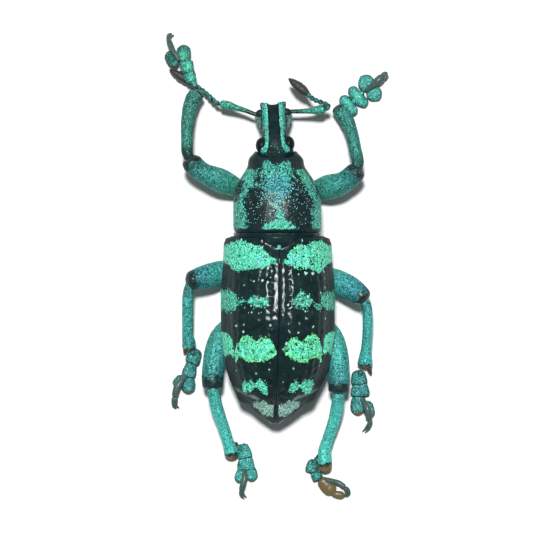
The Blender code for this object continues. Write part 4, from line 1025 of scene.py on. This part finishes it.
TIBIAE = {
    "front_left": [
        (-6.72, 8.20, 3.20, 0.34, 0.34), (-6.98, 9.10, 3.20, 0.45, 0.42), (-6.98, 10.10, 2.94, 0.46, 0.45),
        (-6.94, 11.20, 2.62, 0.51, 0.46), (-6.83, 12.10, 2.35, 0.55, 0.48), (-6.56, 13.00, 2.08, 0.60, 0.52),
        (-6.06, 13.78, 1.95, 0.62, 0.50)],
    "front_right": [
        (6.26, 7.40, 3.18, 0.36, 0.34), (6.34, 8.10, 3.18, 0.46, 0.44), (6.15, 9.06, 2.86, 0.49, 0.47),
        (5.86, 10.45, 2.30, 0.49, 0.47), (5.46, 11.47, 1.80, 0.57, 0.48), (5.02, 12.08, 1.50, 0.54, 0.50),
        (4.66, 12.54, 1.34, 0.52, 0.48)],
    "middle_left": [
        (-6.72, -1.22, 2.92, 0.34, 0.34), (-6.84, -1.80, 2.84, 0.40, 0.38), (-6.94, -3.19, 2.42, 0.44, 0.42),
        (-6.94, -4.55, 1.87, 0.43, 0.42), (-6.97, -5.35, 1.56, 0.42, 0.42), (-6.86, -5.95, 1.32, 0.52, 0.46),
        (-6.90, -6.50, 1.12, 0.52, 0.46)],
    "middle_right": [
        (6.74, -2.42, 2.90, 0.34, 0.34), (7.02, -3.10, 2.80, 0.40, 0.38), (7.13, -4.30, 2.42, 0.40, 0.42),
        (7.08, -5.73, 1.85, 0.40, 0.42), (6.98, -6.95, 1.38, 0.48, 0.44), (6.90, -7.86, 1.12, 0.66, 0.48)],
    "hind_left": [
        (-4.98, -9.14, 2.96, 0.44, 0.42), (-4.90, -9.90, 2.86, 0.48, 0.44), (-4.66, -11.04, 2.35, 0.49, 0.46),
        (-4.22, -12.36, 1.78, 0.46, 0.44), (-3.82, -13.61, 1.30, 0.46, 0.44),
        (-3.57, -14.50, 1.02, 0.54, 0.48), (-3.52, -15.05, 0.90, 0.48, 0.46)],
    "hind_right": [
        (4.84, -9.50, 2.88, 0.42, 0.42), (4.82, -10.20, 2.74, 0.47, 0.43), (4.72, -11.10, 2.38, 0.50, 0.46),
        (4.41, -12.36, 1.85, 0.47, 0.44), (4.02, -13.53, 1.40, 0.46, 0.44), (3.76, -14.60, 1.10, 0.52, 0.48),
        (3.78, -15.40, 0.96, 0.56, 0.46), (3.86, -16.12, 0.84, 0.42, 0.40)],
}
COXAE = {
    "front_left": (-0.98, 5.15, 1.05), "front_right": (1.04, 5.11, 1.05),
    "middle_left": (-1.45, 0.43, 1.10), "middle_right": (1.53, 0.43, 1.10),
    "hind_left": (-1.95, -3.80, 1.10), "hind_right": (2.07, -3.80, 1.10),
}
SPURS = {
    "middle_left": [(-7.06, -6.32, 1.08), (-7.24, -6.80, 0.86)],
    "middle_right": [(7.22, -7.86, 1.00), (7.42, -8.42, 0.74)],
    "hind_left": [(-3.30, -14.00, 1.20), (-3.06, -13.76, 1.22)],
    "hind_right": [(3.42, -14.80, 1.10), (3.10, -14.94, 1.00)],
}
COXA_SIZE = (0.66, 0.66, 0.60)
FEMUR_GRID, TIBIA_GRID, COXA_GRID, SPUR_GRID = (130, 84), (120, 64), (40, 60), (24, 24)
FEMUR_PORES, TIBIA_PORES, PORE_DEPTH = 0.20, 0.18, 0.010
LEG_SCALE_SIZE, HIP_RADIUS, PATCH_LENGTH = 0.85, 0.36, 0.065
# Where along each thigh its bare patch is and how bare, how dark the knee round it is, the tint
# of the leg's scales, how brown the end of its shin is, and how dim the scales of thigh and shin are
LEG_LOOKS = {
    "front_left": (0.97, 0.95, 1.00, 0.44, 0.15, 0.42, 0.68),
    "front_right": (0.97, 0.40, 0.80, 0.42, 0.10, 0.44, 0.61),
    "middle_left": (0.97, 0.95, 1.00, 0.30, 0.45, 0.35, 0.27),
    "middle_right": (0.99, 0.90, 0.90, 0.26, 0.60, 0.28, 0.16),
    "hind_left": (0.94, 1.00, 0.70, 0.36, 0.70, 0.42, 0.00),
    "hind_right": (0.95, 1.00, 0.60, 0.36, 0.70, 0.34, 0.00),
}
LEG_COVER = 0.95
APEX_FROM, USUAL_APEX = {"hind_right": 0.86, "hind_left": 0.90}, 0.92


def tube_grid(stations, rows, sides, rounding):
    """Rings along a limb, with the share of its length and the turn round it at each point."""
    table = np.array(stations, float)
    run = np.concatenate([[0], np.cumsum(np.linalg.norm(np.diff(table[:, :3], axis=0), axis=1))])
    length = run[-1]
    bend = (1 - np.cos(np.linspace(0, math.pi, rows + 2)[1:-1])) / 2
    along = length * (0.5 * bend + 0.5 * np.linspace(0, 1, rows + 2)[1:-1])
    centre = np.stack([curve_through(run, table[:, i], along) for i in range(3)], axis=1)
    wide, high = (curve_through(run, table[:, i], along) for i in (3, 4))
    shrink = np.ones(rows)
    for distance, reach in ((along, rounding[0]), (length - along, rounding[1])):
        near = distance < reach
        shrink[near] *= np.sqrt(1 - (1 - distance[near] / reach) ** 2)
    forward = unit(np.gradient(centre, axis=0))
    across = unit(np.cross(forward, (0.0, 0.0, 1.0)))
    top = np.cross(across, forward)
    turn = np.linspace(0, math.tau, sides, endpoint=False)
    grid = (
        centre[:, None]
        + across[:, None] * (wide * shrink)[:, None, None] * np.cos(turn)[None, :, None]
        + top[:, None] * (high * shrink)[:, None, None] * np.sin(turn)[None, :, None]
    )
    return grid, (along / length)[:, None] + 0 * turn, turn[None, :] + 0 * along[:, None]


def pores(points, spacing, seed):
    """Dark flecks between the scales, 1 in a pore and 0 between."""
    return step_up(0.40, 0.72, dimples(points, spacing, seed))


for number, (leg, stations) in enumerate(FEMORA.items()):
    patch_at, patch_bare, knee_bare, hue, _, dimness, _ = LEG_LOOKS[leg]
    hip = np.array(COXAE[leg])
    root = np.array(stations[0][:3]) * 0.55 + hip * 0.45
    grid, share, turn = tube_grid([(*root, HIP_RADIUS, HIP_RADIUS), *stations], *FEMUR_GRID, (0.3, 0.42))
    normals = outward(grid)
    flecks = pores(grid, FEMUR_PORES, 2.0 + number)
    cloudy = mottle(grid, 0.3, 1.0)
    patch = hump(share + 0.035 * cloudy + 0.016 * mottle(grid, 0.12), patch_at, PATCH_LENGTH)
    patch *= patch_bare * step_up(-0.6, 0.3, np.sin(turn) + 0.3 * cloudy)
    knee = step_up(patch_at - 0.15, patch_at, share + 0.03 * cloudy)
    bare = np.clip(1.2 * patch, 0, 1)
    skin = grid - normals * (0.012 * flecks * (1 - bare) + 0.010 * mottle(grid, 0.5, 6.0))[..., None]
    far = step_up(0.50, 0.92, share + 0.03 * cloudy)
    cover = LEG_COVER * (1 - bare) * (1 - 0.45 * knee_bare * knee)
    cover = cover * (1 - 0.55 * flecks) * step_up(0.03, 0.12, share)
    tint = hue + 0.05 * mottle(grid, 0.9, 4.0) + 0.10 * step_up(0.75, 0.30, share) - 0.10 * knee - 0.12 * far
    dim = dimness - 0.06 + 0.20 * far + 0.5 * knee_bare * knee
    clad(f"femur_{leg}", skin, leg_shell, leg_scales, SEEDS["femur"] + number, [f"femur_{leg}"],
         "turquoise_scales", size=LEG_SCALE_SIZE, cover=cover, tint=tint,
         rust=0.03 * knee_bare * knee, dim=dim)
    grid = egg(hip, COXA_SIZE, *COXA_GRID)
    dusting = 0.25 * step_up(0.0, 0.5, mottle(grid, 0.5, 7.0))
    clad(f"coxa_{leg}", pitted(grid, *FINE_PITS, 3.0), leg_shell, leg_scales, SEEDS["coxa"] + number,
         [f"coxa_{leg}"], "black_shell", cover=dusting, tint=0 * dusting + 0.3)

bristle, tree, shader = new_material("bristle")
shade = put(tree, "ShaderNodeAttribute", attribute_name="shade").outputs["Fac"]
hair = ramp(tree, shade, [(0.0, (0.060, 0.036, 0.012)), (1.0, (0.260, 0.180, 0.070))])
tree.links.new(hair, shader.inputs["Base Color"])
shader.inputs["Roughness"].default_value = 0.45
HAIR_WIDTH, HAIR_RISE, HAIR_SWAY = 0.022, 0.006, 0.30
FRINGE_HAIR = (0.06, 0.14, 0.5)
SPUR_SHAPE = [(0.0, 0.20), (0.6, 0.16), (1.0, 0.08)]


def spindle(root, tip, shape):
    """Stations of a round piece from its root to its tip, with its radius at shares of the way."""
    return [(*(root + (tip - root) * share), radius, radius) for share, radius in shape]


def brush(skin, name, seed, spacing, length, lift=1.0):
    """Short stiff hairs where the skin's brush value is, standing off it and leaning along it."""
    hairs = laid_over(
        skin, name, lay_scales, bristle, Spacing=spacing * MM, Length=length * MM, Width=HAIR_WIDTH * MM,
        Rise=HAIR_RISE * MM, Tilt=HAIR_SWAY, Lift=lift, Where="brush", Seed=seed,
    )
    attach(hairs, "root")
    return hairs


for number, (leg, stations) in enumerate(TIBIAE.items()):
    knee_bare, hue, brown, _, dimness = LEG_LOOKS[leg][2:]
    grid, share, turn = tube_grid(stations, *TIBIA_GRID, (0.2, 0.30))
    normals = outward(grid)
    flecks = pores(grid, TIBIA_PORES, 4.0 + number)
    apex_at = APEX_FROM.get(leg, USUAL_APEX)
    apex = step_up(apex_at, apex_at + 0.05, share + 0.02 * mottle(grid, 0.25, 3.0))
    capped = step_up(apex_at + 0.03, apex_at + 0.07, share + 0.03 * mottle(grid, 0.25, 8.0))
    skin = grid - normals * (PORE_DEPTH * flecks + 0.012 * mottle(grid, 0.4, 6.0))[..., None]
    cover = LEG_COVER * (1 - 0.75 * flecks) * (1 - apex)
    tint = hue + 0.04 + 0.05 * mottle(grid, 0.8, 4.0)
    fringe = 0.8 * step_up(0.955, 0.975, share)
    knee = 0.35 * knee_bare * step_up(0.24, 0.12, share)
    tibia = clad(f"tibia_{leg}", skin, leg_shell, leg_scales, SEEDS["tibia"] + number, [f"tibia_{leg}"],
                 "turquoise_scales", size=LEG_SCALE_SIZE, cover=cover, tint=tint, rust=brown * capped,
                 brush=fringe, dim=dimness + knee)
    brush(tibia, f"tibia_{leg}_fringe", SEEDS["fringe"] + number, *FRINGE_HAIR)
    if leg in SPURS:
        root, tip = (np.array(p) for p in SPURS[leg])
        grid, share, turn = tube_grid(spindle(root, tip, SPUR_SHAPE), *SPUR_GRID, (0.08, 0.05))
        bare = 0 * share
        place_piece(shell_piece(f"spur_{leg}", grid, cover=bare, tint=bare, rust=bare + 0.25), leg_shell)

# Feet: two wedge-shaped joints, a third split into two round lobes, and a long last joint with
# two hooked claws. The soles are pads of dense golden-brown hair.

# A foot's stem runs from its ankle to the root of its lobes. Its joints have a shape, half a width,
# half a length and a heading. Each lobe has its place, the same, its drop and whether its pad is up
FEET = {
    "front_left": {
        "stem": [(-6.24, 14.02, 1.86), (-6.74, 14.78, 1.78), (-7.02, 15.62, 1.50), (-7.40, 16.10, 1.10)],
        "joints": [("cup", 0.50, 0.46, 112), ("cup", 0.56, 0.50, 98)],
        "lobes": [
            (-7.27, 16.63, 0.66, 0.56, 0.76, 92, 0.50, 0), (-8.18, 16.28, 0.66, 0.50, 0.66, 120, 0.50, 0)],
        "last": [
            (-7.61, 16.09, 1.50, 0.15), (-8.05, 16.87, 1.30, 0.18), (-8.34, 17.46, 1.00, 0.23),
            (-8.49, 17.80, 0.78, 0.20)],
        "hook": [(-8.47, 17.84, 0.72, 0.13), (-8.42, 18.08, 0.50, 0.10), (-8.12, 18.26, 0.25, 0.03)],
    },
    "front_right": {
        "stem": [(5.20, 12.52, 0.86), (5.69, 12.68, 0.52), (6.44, 13.35, 0.34), (6.80, 13.70, 0.28)],
        "joints": [("bean", 0.86, 0.48, 38), ("bean", 0.95, 0.48, 42)],
        "lobes": [(7.03, 14.38, 0.26, 0.62, 0.70, 75, 0.0, 0), (7.66, 13.56, 0.26, 0.60, 0.62, 10, 0.0, 0)],
        "last": [
            (6.99, 13.80, 0.52, 0.18), (7.50, 14.18, 0.74, 0.24), (8.00, 14.60, 0.84, 0.33),
            (8.32, 14.88, 0.74, 0.33)],
        "hook": [(8.40, 14.92, 0.64, 0.24), (8.60, 15.02, 0.46, 0.17), (8.74, 14.98, 0.24, 0.05)],
    },
    "middle_left": {
        "stem": [(-6.62, -6.56, 0.90), (-6.46, -7.06, 0.52), (-6.80, -8.12, 0.36), (-7.05, -8.60, 0.28)],
        "joints": [("cup", 0.58, 0.60, -112), ("cup", 0.56, 0.62, -104)],
        "lobes": [
            (-6.90, -9.30, 0.26, 0.54, 0.72, -95, 0.0, 0), (-7.64, -9.02, 0.26, 0.43, 0.58, -125, 0.0, 0)],
        "last": [
            (-7.10, -8.50, 0.50, 0.20), (-7.42, -8.90, 0.66, 0.25), (-7.78, -9.45, 0.72, 0.29),
            (-7.98, -10.22, 0.62, 0.26)],
        "hook": [(-7.99, -10.36, 0.58, 0.18), (-7.99, -10.86, 0.36, 0.12), (-7.74, -11.14, 0.22, 0.04)],
    },
    "middle_right": {
        "stem": [(6.66, -8.16, 0.90), (6.46, -8.72, 0.52), (6.56, -9.66, 0.36), (6.70, -10.20, 0.28)],
        "joints": [("cup", 0.64, 0.56, -85), ("cup", 0.74, 0.58, -90)],
        "lobes": [
            (6.40, -10.84, 0.26, 0.60, 0.86, -92, 0.0, 0), (7.25, -11.22, 0.26, 0.44, 0.72, -80, 0.0, 0)],
        "last": [
            (6.70, -10.30, 0.50, 0.20), (6.95, -10.80, 0.70, 0.24), (7.16, -11.24, 0.78, 0.27),
            (7.26, -12.02, 0.60, 0.27)],
        "hook": [(7.34, -12.15, 0.56, 0.14), (7.12, -12.68, 0.36, 0.10), (6.82, -13.02, 0.22, 0.03)],
    },
    "hind_left": {
        "stem": [(-3.24, -14.00, 1.00), (-2.56, -14.50, 0.52), (-2.40, -15.44, 0.36), (-2.40, -15.95, 0.28)],
        "joints": [("cup", 0.58, 0.58, -76), ("cup", 0.68, 0.56, -92)],
        "lobes": [
            (-2.84, -16.40, 0.26, 0.42, 0.60, -105, 0.0, 0), (-1.98, -16.24, 0.26, 0.48, 0.64, -80, 0.0, 0)],
        "last": [
            (-2.51, -15.85, 0.50, 0.18), (-2.50, -16.50, 0.72, 0.22), (-2.62, -17.05, 0.74, 0.24),
            (-2.76, -17.55, 0.60, 0.23)],
        "hook": [(-2.76, -17.66, 0.56, 0.14), (-2.66, -17.96, 0.36, 0.10), (-2.42, -18.18, 0.22, 0.03)],
    },
    "hind_right": {
        "stem": [(3.22, -15.00, 0.90), (2.80, -15.66, 0.50), (3.10, -16.36, 0.36), (3.45, -16.75, 0.28)],
        "joints": [("cup", 0.50, 0.52, -98), ("cup", 0.44, 0.44, -58)],
        "lobes": [
            (3.96, -17.22, 0.28, 0.56, 0.86, -47, 0.0, 1), (4.84, -17.90, 0.24, 0.31, 0.54, -8, 0.0, 1)],
        "last": [
            (3.78, -16.70, 0.40, 0.19), (4.32, -16.80, 0.50, 0.20), (4.92, -16.98, 0.62, 0.21),
            (5.38, -17.30, 0.64, 0.20)],
        "hook": [(5.46, -17.40, 0.60, 0.15), (5.60, -17.76, 0.44, 0.11), (5.36, -18.06, 0.32, 0.06)],
    },
}
BEAN_HALF_HEIGHT, LOBE_HALF_HEIGHT, STEM_RADIUS, BEAN_SWEEP = 0.28, 0.26, 0.20, 0.30
# How wide each kind of joint is, as shares of its full width, at places from its root to its end
BEAN_OUTLINE = ((-1.0, 0.66), (-0.55, 0.92), (0.0, 1.0), (0.55, 0.92), (1.0, 0.66))
CUP_OUTLINE = ((-1.1, 0.66), (-0.4, 0.86), (0.35, 1.0), (1.0, 0.96))
LOBE_OUTLINE = ((-1.0, 0.62), (-0.5, 0.88), (0.1, 1.0), (0.6, 0.92), (1.0, 0.66))
CLAW_SPREAD, CLAW_ROOT, CLAW_PARTING = 0.11, 0.13, (0.6, 1.0, 1.0)
TOE_GRID, LAST_JOINT_GRID, CLAW_GRID = (44, 56), (50, 32), (34, 20)
SOLE_HAIR, TOE_SCALE_SIZE = (0.075, 0.18, 1.1), 0.9

HORN = [(0.3, (0.018, 0.070, 0.075)), (0.75, (0.085, 0.105, 0.080))]
claw_horn, shader = grained_finish("claw_horn", HORN, 0.26, 4000.0, 30000.0)
shader.inputs["Specular IOR Level"].default_value = 0.22


def joined(name, pieces):
    """Several pieces as the one mesh of the first, under a new name."""
    bpy.ops.object.select_all(action="DESELECT")
    for piece in pieces:
        piece.select_set(True)
    bpy.context.view_layer.objects.active = pieces[0]
    bpy.ops.object.join()
    pieces[0].name = name
    pieces[0].select_set(False)
    return pieces[0]


def toward(degrees):
    """The direction over the floor at that turn from straight right."""
    turn = math.radians(degrees)
    return np.array((math.cos(turn), math.sin(turn), 0.0))


def bean(centre, half_width, half_length, ahead):
    """Stations of a joint that lies across its foot, with both ends swept forward."""
    across = np.array((-ahead[1], ahead[0], 0.0))
    stations = []
    for s, fat in BEAN_OUTLINE:
        place = centre + across * half_width * s + ahead * BEAN_SWEEP * half_length * (2 * s * s - 1)
        stations.append((*place, half_length * fat, BEAN_HALF_HEIGHT * (0.8 + 0.2 * fat)))
    return stations, (0.5 * half_length, 0.5 * half_length)


def cup(centre, half_width, half_length, ahead):
    """Stations of a joint that widens forward along its foot, over the root of the next one."""
    stations = []
    for s, fat in CUP_OUTLINE:
        place = centre + ahead * half_length * s
        stations.append((*place, half_width * fat, BEAN_HALF_HEIGHT * (0.8 + 0.2 * fat)))
    return stations, (0.25, 0.14)


def pad_lobe(centre, half_width, half_length, ahead, drop):
    """Stations of one lobe of the split joint, rounded and lowest at its far end."""
    stations = []
    for s, fat in LOBE_OUTLINE:
        place = centre + ahead * half_length * s - np.array((0, 0, drop * s))
        stations.append((*place, half_width * fat, LOBE_HALF_HEIGHT * (0.7 + 0.3 * fat)))
    return stations, (0.5 * half_length, 0.55 * half_length)


JOINT_SHAPES = {"bean": bean, "cup": cup}
PAD_RIMS, USUAL_RIM = {"middle_left": 0.80, "middle_right": 0.78, "hind_left": 0.87}, 0.97
# Where a foot's scales are painted brighter and greener as a highlight: the middle of each place and how far
# it reaches
PAINTED_HIGHLIGHTS = {
    "front_left": [(-7.30, 16.62, 0.40), (-6.88, 15.62, 0.32), (-6.62, 14.74, 0.20)],
    "front_right": [(5.60, 12.74, 0.28), (6.38, 13.39, 0.22)],
}
FOOT_DIM = {
    "front_left": 0.42, "front_right": 0.32, "middle_left": 0.50, "middle_right": 0.50,
    "hind_left": 0.34, "hind_right": 0.48,
}
for number, (leg, spec) in enumerate(FEET.items()):
    hue = LEG_LOOKS[leg][3]
    stem = np.array(spec["stem"])
    lie = unit(stem[2] - stem[1])
    still = np.zeros(3)
    pieces = [([(*p, STEM_RADIUS, STEM_RADIUS) for p in stem], (0.1, 0.1), 0, still)]
    for at, (shape, half_width, half_length, heading) in zip(stem[1:3], spec["joints"]):
        pieces.append((*JOINT_SHAPES[shape](at, half_width, half_length, toward(heading)), 0, still))
    for x, y, z, half_width, half_length, heading, drop, golden in spec["lobes"]:
        far = toward(heading)
        pieces.append((*pad_lobe(np.array((x, y, z)), half_width, half_length, far, drop), golden, far))
    parts = []
    for path, rounding, golden, far in pieces:
        grid, share, turn = tube_grid(path, *TOE_GRID, rounding)
        grid[..., 2] = np.maximum(grid[..., 2], 0.0)
        normals = outward(grid)
        rise = normals[..., 2] + 0.20 * mottle(grid, 0.15, 3.0) - 0.50 * np.maximum(normals @ far, 0)
        pad = np.maximum(step_up(0.16, -0.10, rise), golden)
        rim_at = PAD_RIMS.get(leg, USUAL_RIM) if far.any() else 2.0
        pad = np.maximum(pad, 0.9 * step_up(rim_at, rim_at + 0.10, share + 0.04 * mottle(grid, 0.2, 6.0)))
        # Painted highlight: the scales are brighter and greener round each of these places.
        painted_highlight = 0 * share
        for x, y, reach in PAINTED_HIGHLIGHTS.get(leg, ()):
            painted_highlight = np.maximum(painted_highlight, hump(np.hypot(grid[..., 0] - x, grid[..., 1] - y), 0.0, reach))
        flecks = pores(grid, TIBIA_PORES, 1.0 + number)
        skin = grid - normals * (PORE_DEPTH * flecks + 0.010 * mottle(grid, 0.25, 9.0))[..., None]
        skin[..., 2] = np.maximum(skin[..., 2], 0.0)
        # Painted shade: the scales are darker on the sides and far ends of each joint, where the surface
        # turns away from straight up.
        dim = FOOT_DIM[leg] + 0.05 + 0.35 * specks(skin) + 0.3 * step_up(0.9, 0.3, rise) - 0.5 * painted_highlight
        parts.append(shell_piece(
            f"toe_{leg}_{len(parts)}", skin, cover=0.92 * (1 - pad) * (1 - 0.8 * flecks),
            tint=hue + 0.06 * mottle(grid, 0.5, 4.0) + 0.34 * painted_highlight, lie=grid * 0 + lie, rust=0.7 * pad,
            dim=np.clip(dim, 0, 0.9), brush=pad * step_up(-0.75, -0.5, normals[..., 2]),
        ))
    foot = place_piece(joined(f"tarsus_{leg}_pads", parts), leg_shell, [f"tarsus_{leg}"])
    scale_coat(foot, f"tarsus_{leg}_scales", SEEDS["tarsus"] + number, leg_scales, TOE_SCALE_SIZE)
    brush(foot, f"tarsus_{leg}_sole", SEEDS["sole"] + number, *SOLE_HAIR)
    last = spec["last"]
    grid = tube_grid([(*p[:3], p[3], p[3]) for p in last], *LAST_JOINT_GRID, (0.1, 0.14))[0]
    parts = [shell_piece(f"last_joint_{leg}", grid)]
    toe_end = last[-1][:3]
    aside = unit(np.cross(np.array(spec["hook"][-1][:3]) - np.array(toe_end), (0.0, 0.0, 1.0)))
    for across in (-CLAW_SPREAD, CLAW_SPREAD):
        path = [(*toe_end, CLAW_ROOT, CLAW_ROOT)]
        for (*place, radius), share in zip(spec["hook"], CLAW_PARTING):
            path.append((*(np.array(place) + aside * across * share), radius, radius))
        grid = tube_grid(path, *CLAW_GRID, (0.08, 0.04))[0]
        parts.append(shell_piece(f"claw_{leg}_{len(parts)}", grid))
    place_piece(joined(f"claws_{leg}", parts), claw_horn)

# Feelers: a long club-tipped scape, an elbow, seven beads and a pointed club of three joints that
# is velvety with short hair.
SCAPES = {
    "left": [
        (-1.30, 11.82, 2.30, 0.17), (-1.72, 11.92, 2.32, 0.17), (-2.46, 12.20, 2.28, 0.19),
        (-3.20, 12.42, 2.16, 0.24), (-3.80, 12.60, 2.04, 0.34), (-4.16, 12.66, 1.96, 0.34),
        (-4.46, 12.66, 1.90, 0.26)],
    "right": [
        (0.62, 12.06, 2.32, 0.17), (1.08, 12.10, 2.34, 0.17), (2.00, 12.13, 2.40, 0.19),
        (2.78, 12.17, 2.46, 0.25), (3.30, 12.24, 2.52, 0.35), (3.60, 12.26, 2.53, 0.34),
        (3.86, 12.26, 2.54, 0.26)],
}
FUNICLES = {
    "left": [(-4.74, 12.84, 1.70), (-5.34, 13.40, 1.16), (-5.86, 13.84, 0.78), (-6.38, 14.20, 0.62)],
    "right": [(4.06, 12.54, 3.12), (3.58, 12.76, 3.30), (3.10, 12.94, 3.18), (2.68, 13.18, 2.98)],
}
CLUBS = {
    "left": [(-6.62, 14.36, 0.60), (-8.42, 15.46, 0.56)],
    "right": [(2.44, 13.46, 2.78), (0.92, 14.70, 2.58)],
}
CLUB_SHAPE = [
    (-0.06, 0.18), (0.05, 0.27), (0.28, 0.39), (0.42, 0.40), (0.60, 0.36), (0.82, 0.23), (1.0, 0.05),
]
BEAD_SHAPE = [(0.0, 0.12), (0.25, 0.17), (0.70, 0.21), (1.0, 0.17)]
BEADS, BEAD_OVERLAP = 7, 0.06
SCAPE_GRID, BEAD_GRID, CLUB_GRID = (90, 40), (20, 28), (70, 48)
FEELER_SCALE_SIZE = 0.7
CLUB_RINGS, CLUB_RING_DEPTH, CLUB_RING_WIDTH = (0.42, 0.68), 0.035, 0.02
NAP = [(0.3, (0.004, 0.008, 0.009)), (0.75, (0.018, 0.026, 0.027))]
club_velvet, shader = grained_finish("club_velvet", NAP, 0.5, 9000.0, 40000.0, 0.7)
shader.inputs["Sheen Weight"].default_value = 0.15
for number, side in enumerate(SCAPES):
    path = [(x, y, z, r, r) for x, y, z, r in SCAPES[side]]
    grid, share, turn = tube_grid(path, *SCAPE_GRID, (0.1, 0.2))
    cover = 0.12 + 0.78 * step_up(0.15, 0.7, share) + 0.2 * mottle(grid, 0.3, 2.0)
    clad(f"scape_{side}", grid, leg_shell, leg_scales, SEEDS["scape"] + number, [f"scape_{side}"],
         "dark_feeler", size=FEELER_SCALE_SIZE, cover=np.clip(cover, 0, 1), tint=0.55 + 0 * share,
         dim=0.62 - 0.25 * step_up(0.40, 0.8, share))
    elbow = np.array(SCAPES[side][-1][:3])
    points = np.array([elbow, *FUNICLES[side], CLUBS[side][0]])
    run = np.concatenate([[0], np.cumsum(np.linalg.norm(np.diff(points, axis=0), axis=1))])
    places = np.linspace(0, run[-1], BEADS + 1)
    knots = np.stack([curve_through(run, points[:, i], places) for i in range(3)], axis=1)
    parts = []
    for bead in range(BEADS):
        root, tip = knots[bead], knots[bead + 1]
        tip = tip + (tip - root) * BEAD_OVERLAP
        grid, share, turn = tube_grid(spindle(root, tip, BEAD_SHAPE), *BEAD_GRID, (0.06, 0.10))
        dusting = 0.45 + 0.3 * mottle(grid, 0.3, 5.0)
        parts.append(shell_piece(
            f"bead_{side}_{bead}", grid, cover=np.clip(dusting, 0, 1), tint=0 * share + 0.42,
            dim=0 * share + 0.6, lie=unit(np.gradient(grid, axis=0)),
        ))
    beads = place_piece(joined(f"funicle_{side}_beads", parts), leg_shell, [f"funicle_{side}"])
    scale_coat(beads, f"funicle_{side}_scales", SEEDS["funicle"] + number, leg_scales, FEELER_SCALE_SIZE)
    root, tip = (np.array(p) for p in CLUBS[side])
    grid, share, turn = tube_grid(spindle(root, tip, CLUB_SHAPE), *CLUB_GRID, (0.15, 0.10))
    rings = sum(hump(share, at, CLUB_RING_WIDTH) for at in CLUB_RINGS)
    grid = grid - outward(grid) * (CLUB_RING_DEPTH * rings)[..., None]
    place_piece(shell_piece(f"club_{side}_spindle", grid), club_velvet, [f"club_{side}"])

# Table, light and camera: a white board under a small bright lamp that stands a little in front
# of straight above, in an even white surround, seen from straight above as in the photograph.
BOARD_HALF, BOARD_DROP = 0.30, 0.00002
bpy.ops.mesh.primitive_plane_add(size=2 * BOARD_HALF, location=(0, 0, -BOARD_DROP))
board = bpy.context.object
board.name = "white_board"
board_paint, tree, shader = new_material("white_board")
grain = put(tree, "ShaderNodeGroup", {"Patch": 60.0, "Pore": 3000.0}, node_tree=shell_grain)
paper = ramp(tree, grain.outputs["Cloud"], [(0.3, (0.74, 0.74, 0.74)), (0.7, (0.76, 0.76, 0.76))])
tree.links.new(paper, shader.inputs["Base Color"])
shader.inputs["Roughness"].default_value = 0.9
board.data.materials.append(board_paint)

lamp = bpy.data.lights.new("lamp", "SUN")
LAMP_POWER, LAMP_WIDTH, SURROUND_POWER = 4.6, math.radians(7), 0.17
lamp.energy, lamp.angle = LAMP_POWER, LAMP_WIDTH
lamp_stand = bpy.data.objects.new("lamp", lamp)
LAMP_LEAN_FORWARD, LAMP_LEAN_RIGHT = math.radians(13), math.radians(-1.5)
lamp_stand.rotation_euler = (-LAMP_LEAN_FORWARD, LAMP_LEAN_RIGHT, 0)
bpy.context.scene.collection.objects.link(lamp_stand)

world = bpy.data.worlds.new("surround")
world.use_nodes = True
world.node_tree.nodes["Background"].inputs["Color"].default_value = (1.0, 1.0, 1.0, 1.0)
world.node_tree.nodes["Background"].inputs["Strength"].default_value = SURROUND_POWER
bpy.context.scene.world = world
bpy.context.scene.view_settings.view_transform = "Standard"

LENS, SENSOR = 400.0, 36.0
PIXEL = 0.078 * MM
PICTURE_SIDE = 550
picture_width = PICTURE_SIDE * PIXEL
camera = bpy.data.cameras.new("camera")
camera.lens, camera.sensor_width = LENS, SENSOR
camera.clip_start, camera.clip_end = 0.01, 10.0
camera_stand = bpy.data.objects.new("camera", camera)
PICTURE_CENTRE = (-0.12 * MM, -0.66 * MM)
SHARP_HEIGHT = 3.0 * MM
camera_stand.location = (*PICTURE_CENTRE, SHARP_HEIGHT + LENS / SENSOR * picture_width)
bpy.context.scene.collection.objects.link(camera_stand)
bpy.context.scene.camera = camera_stand
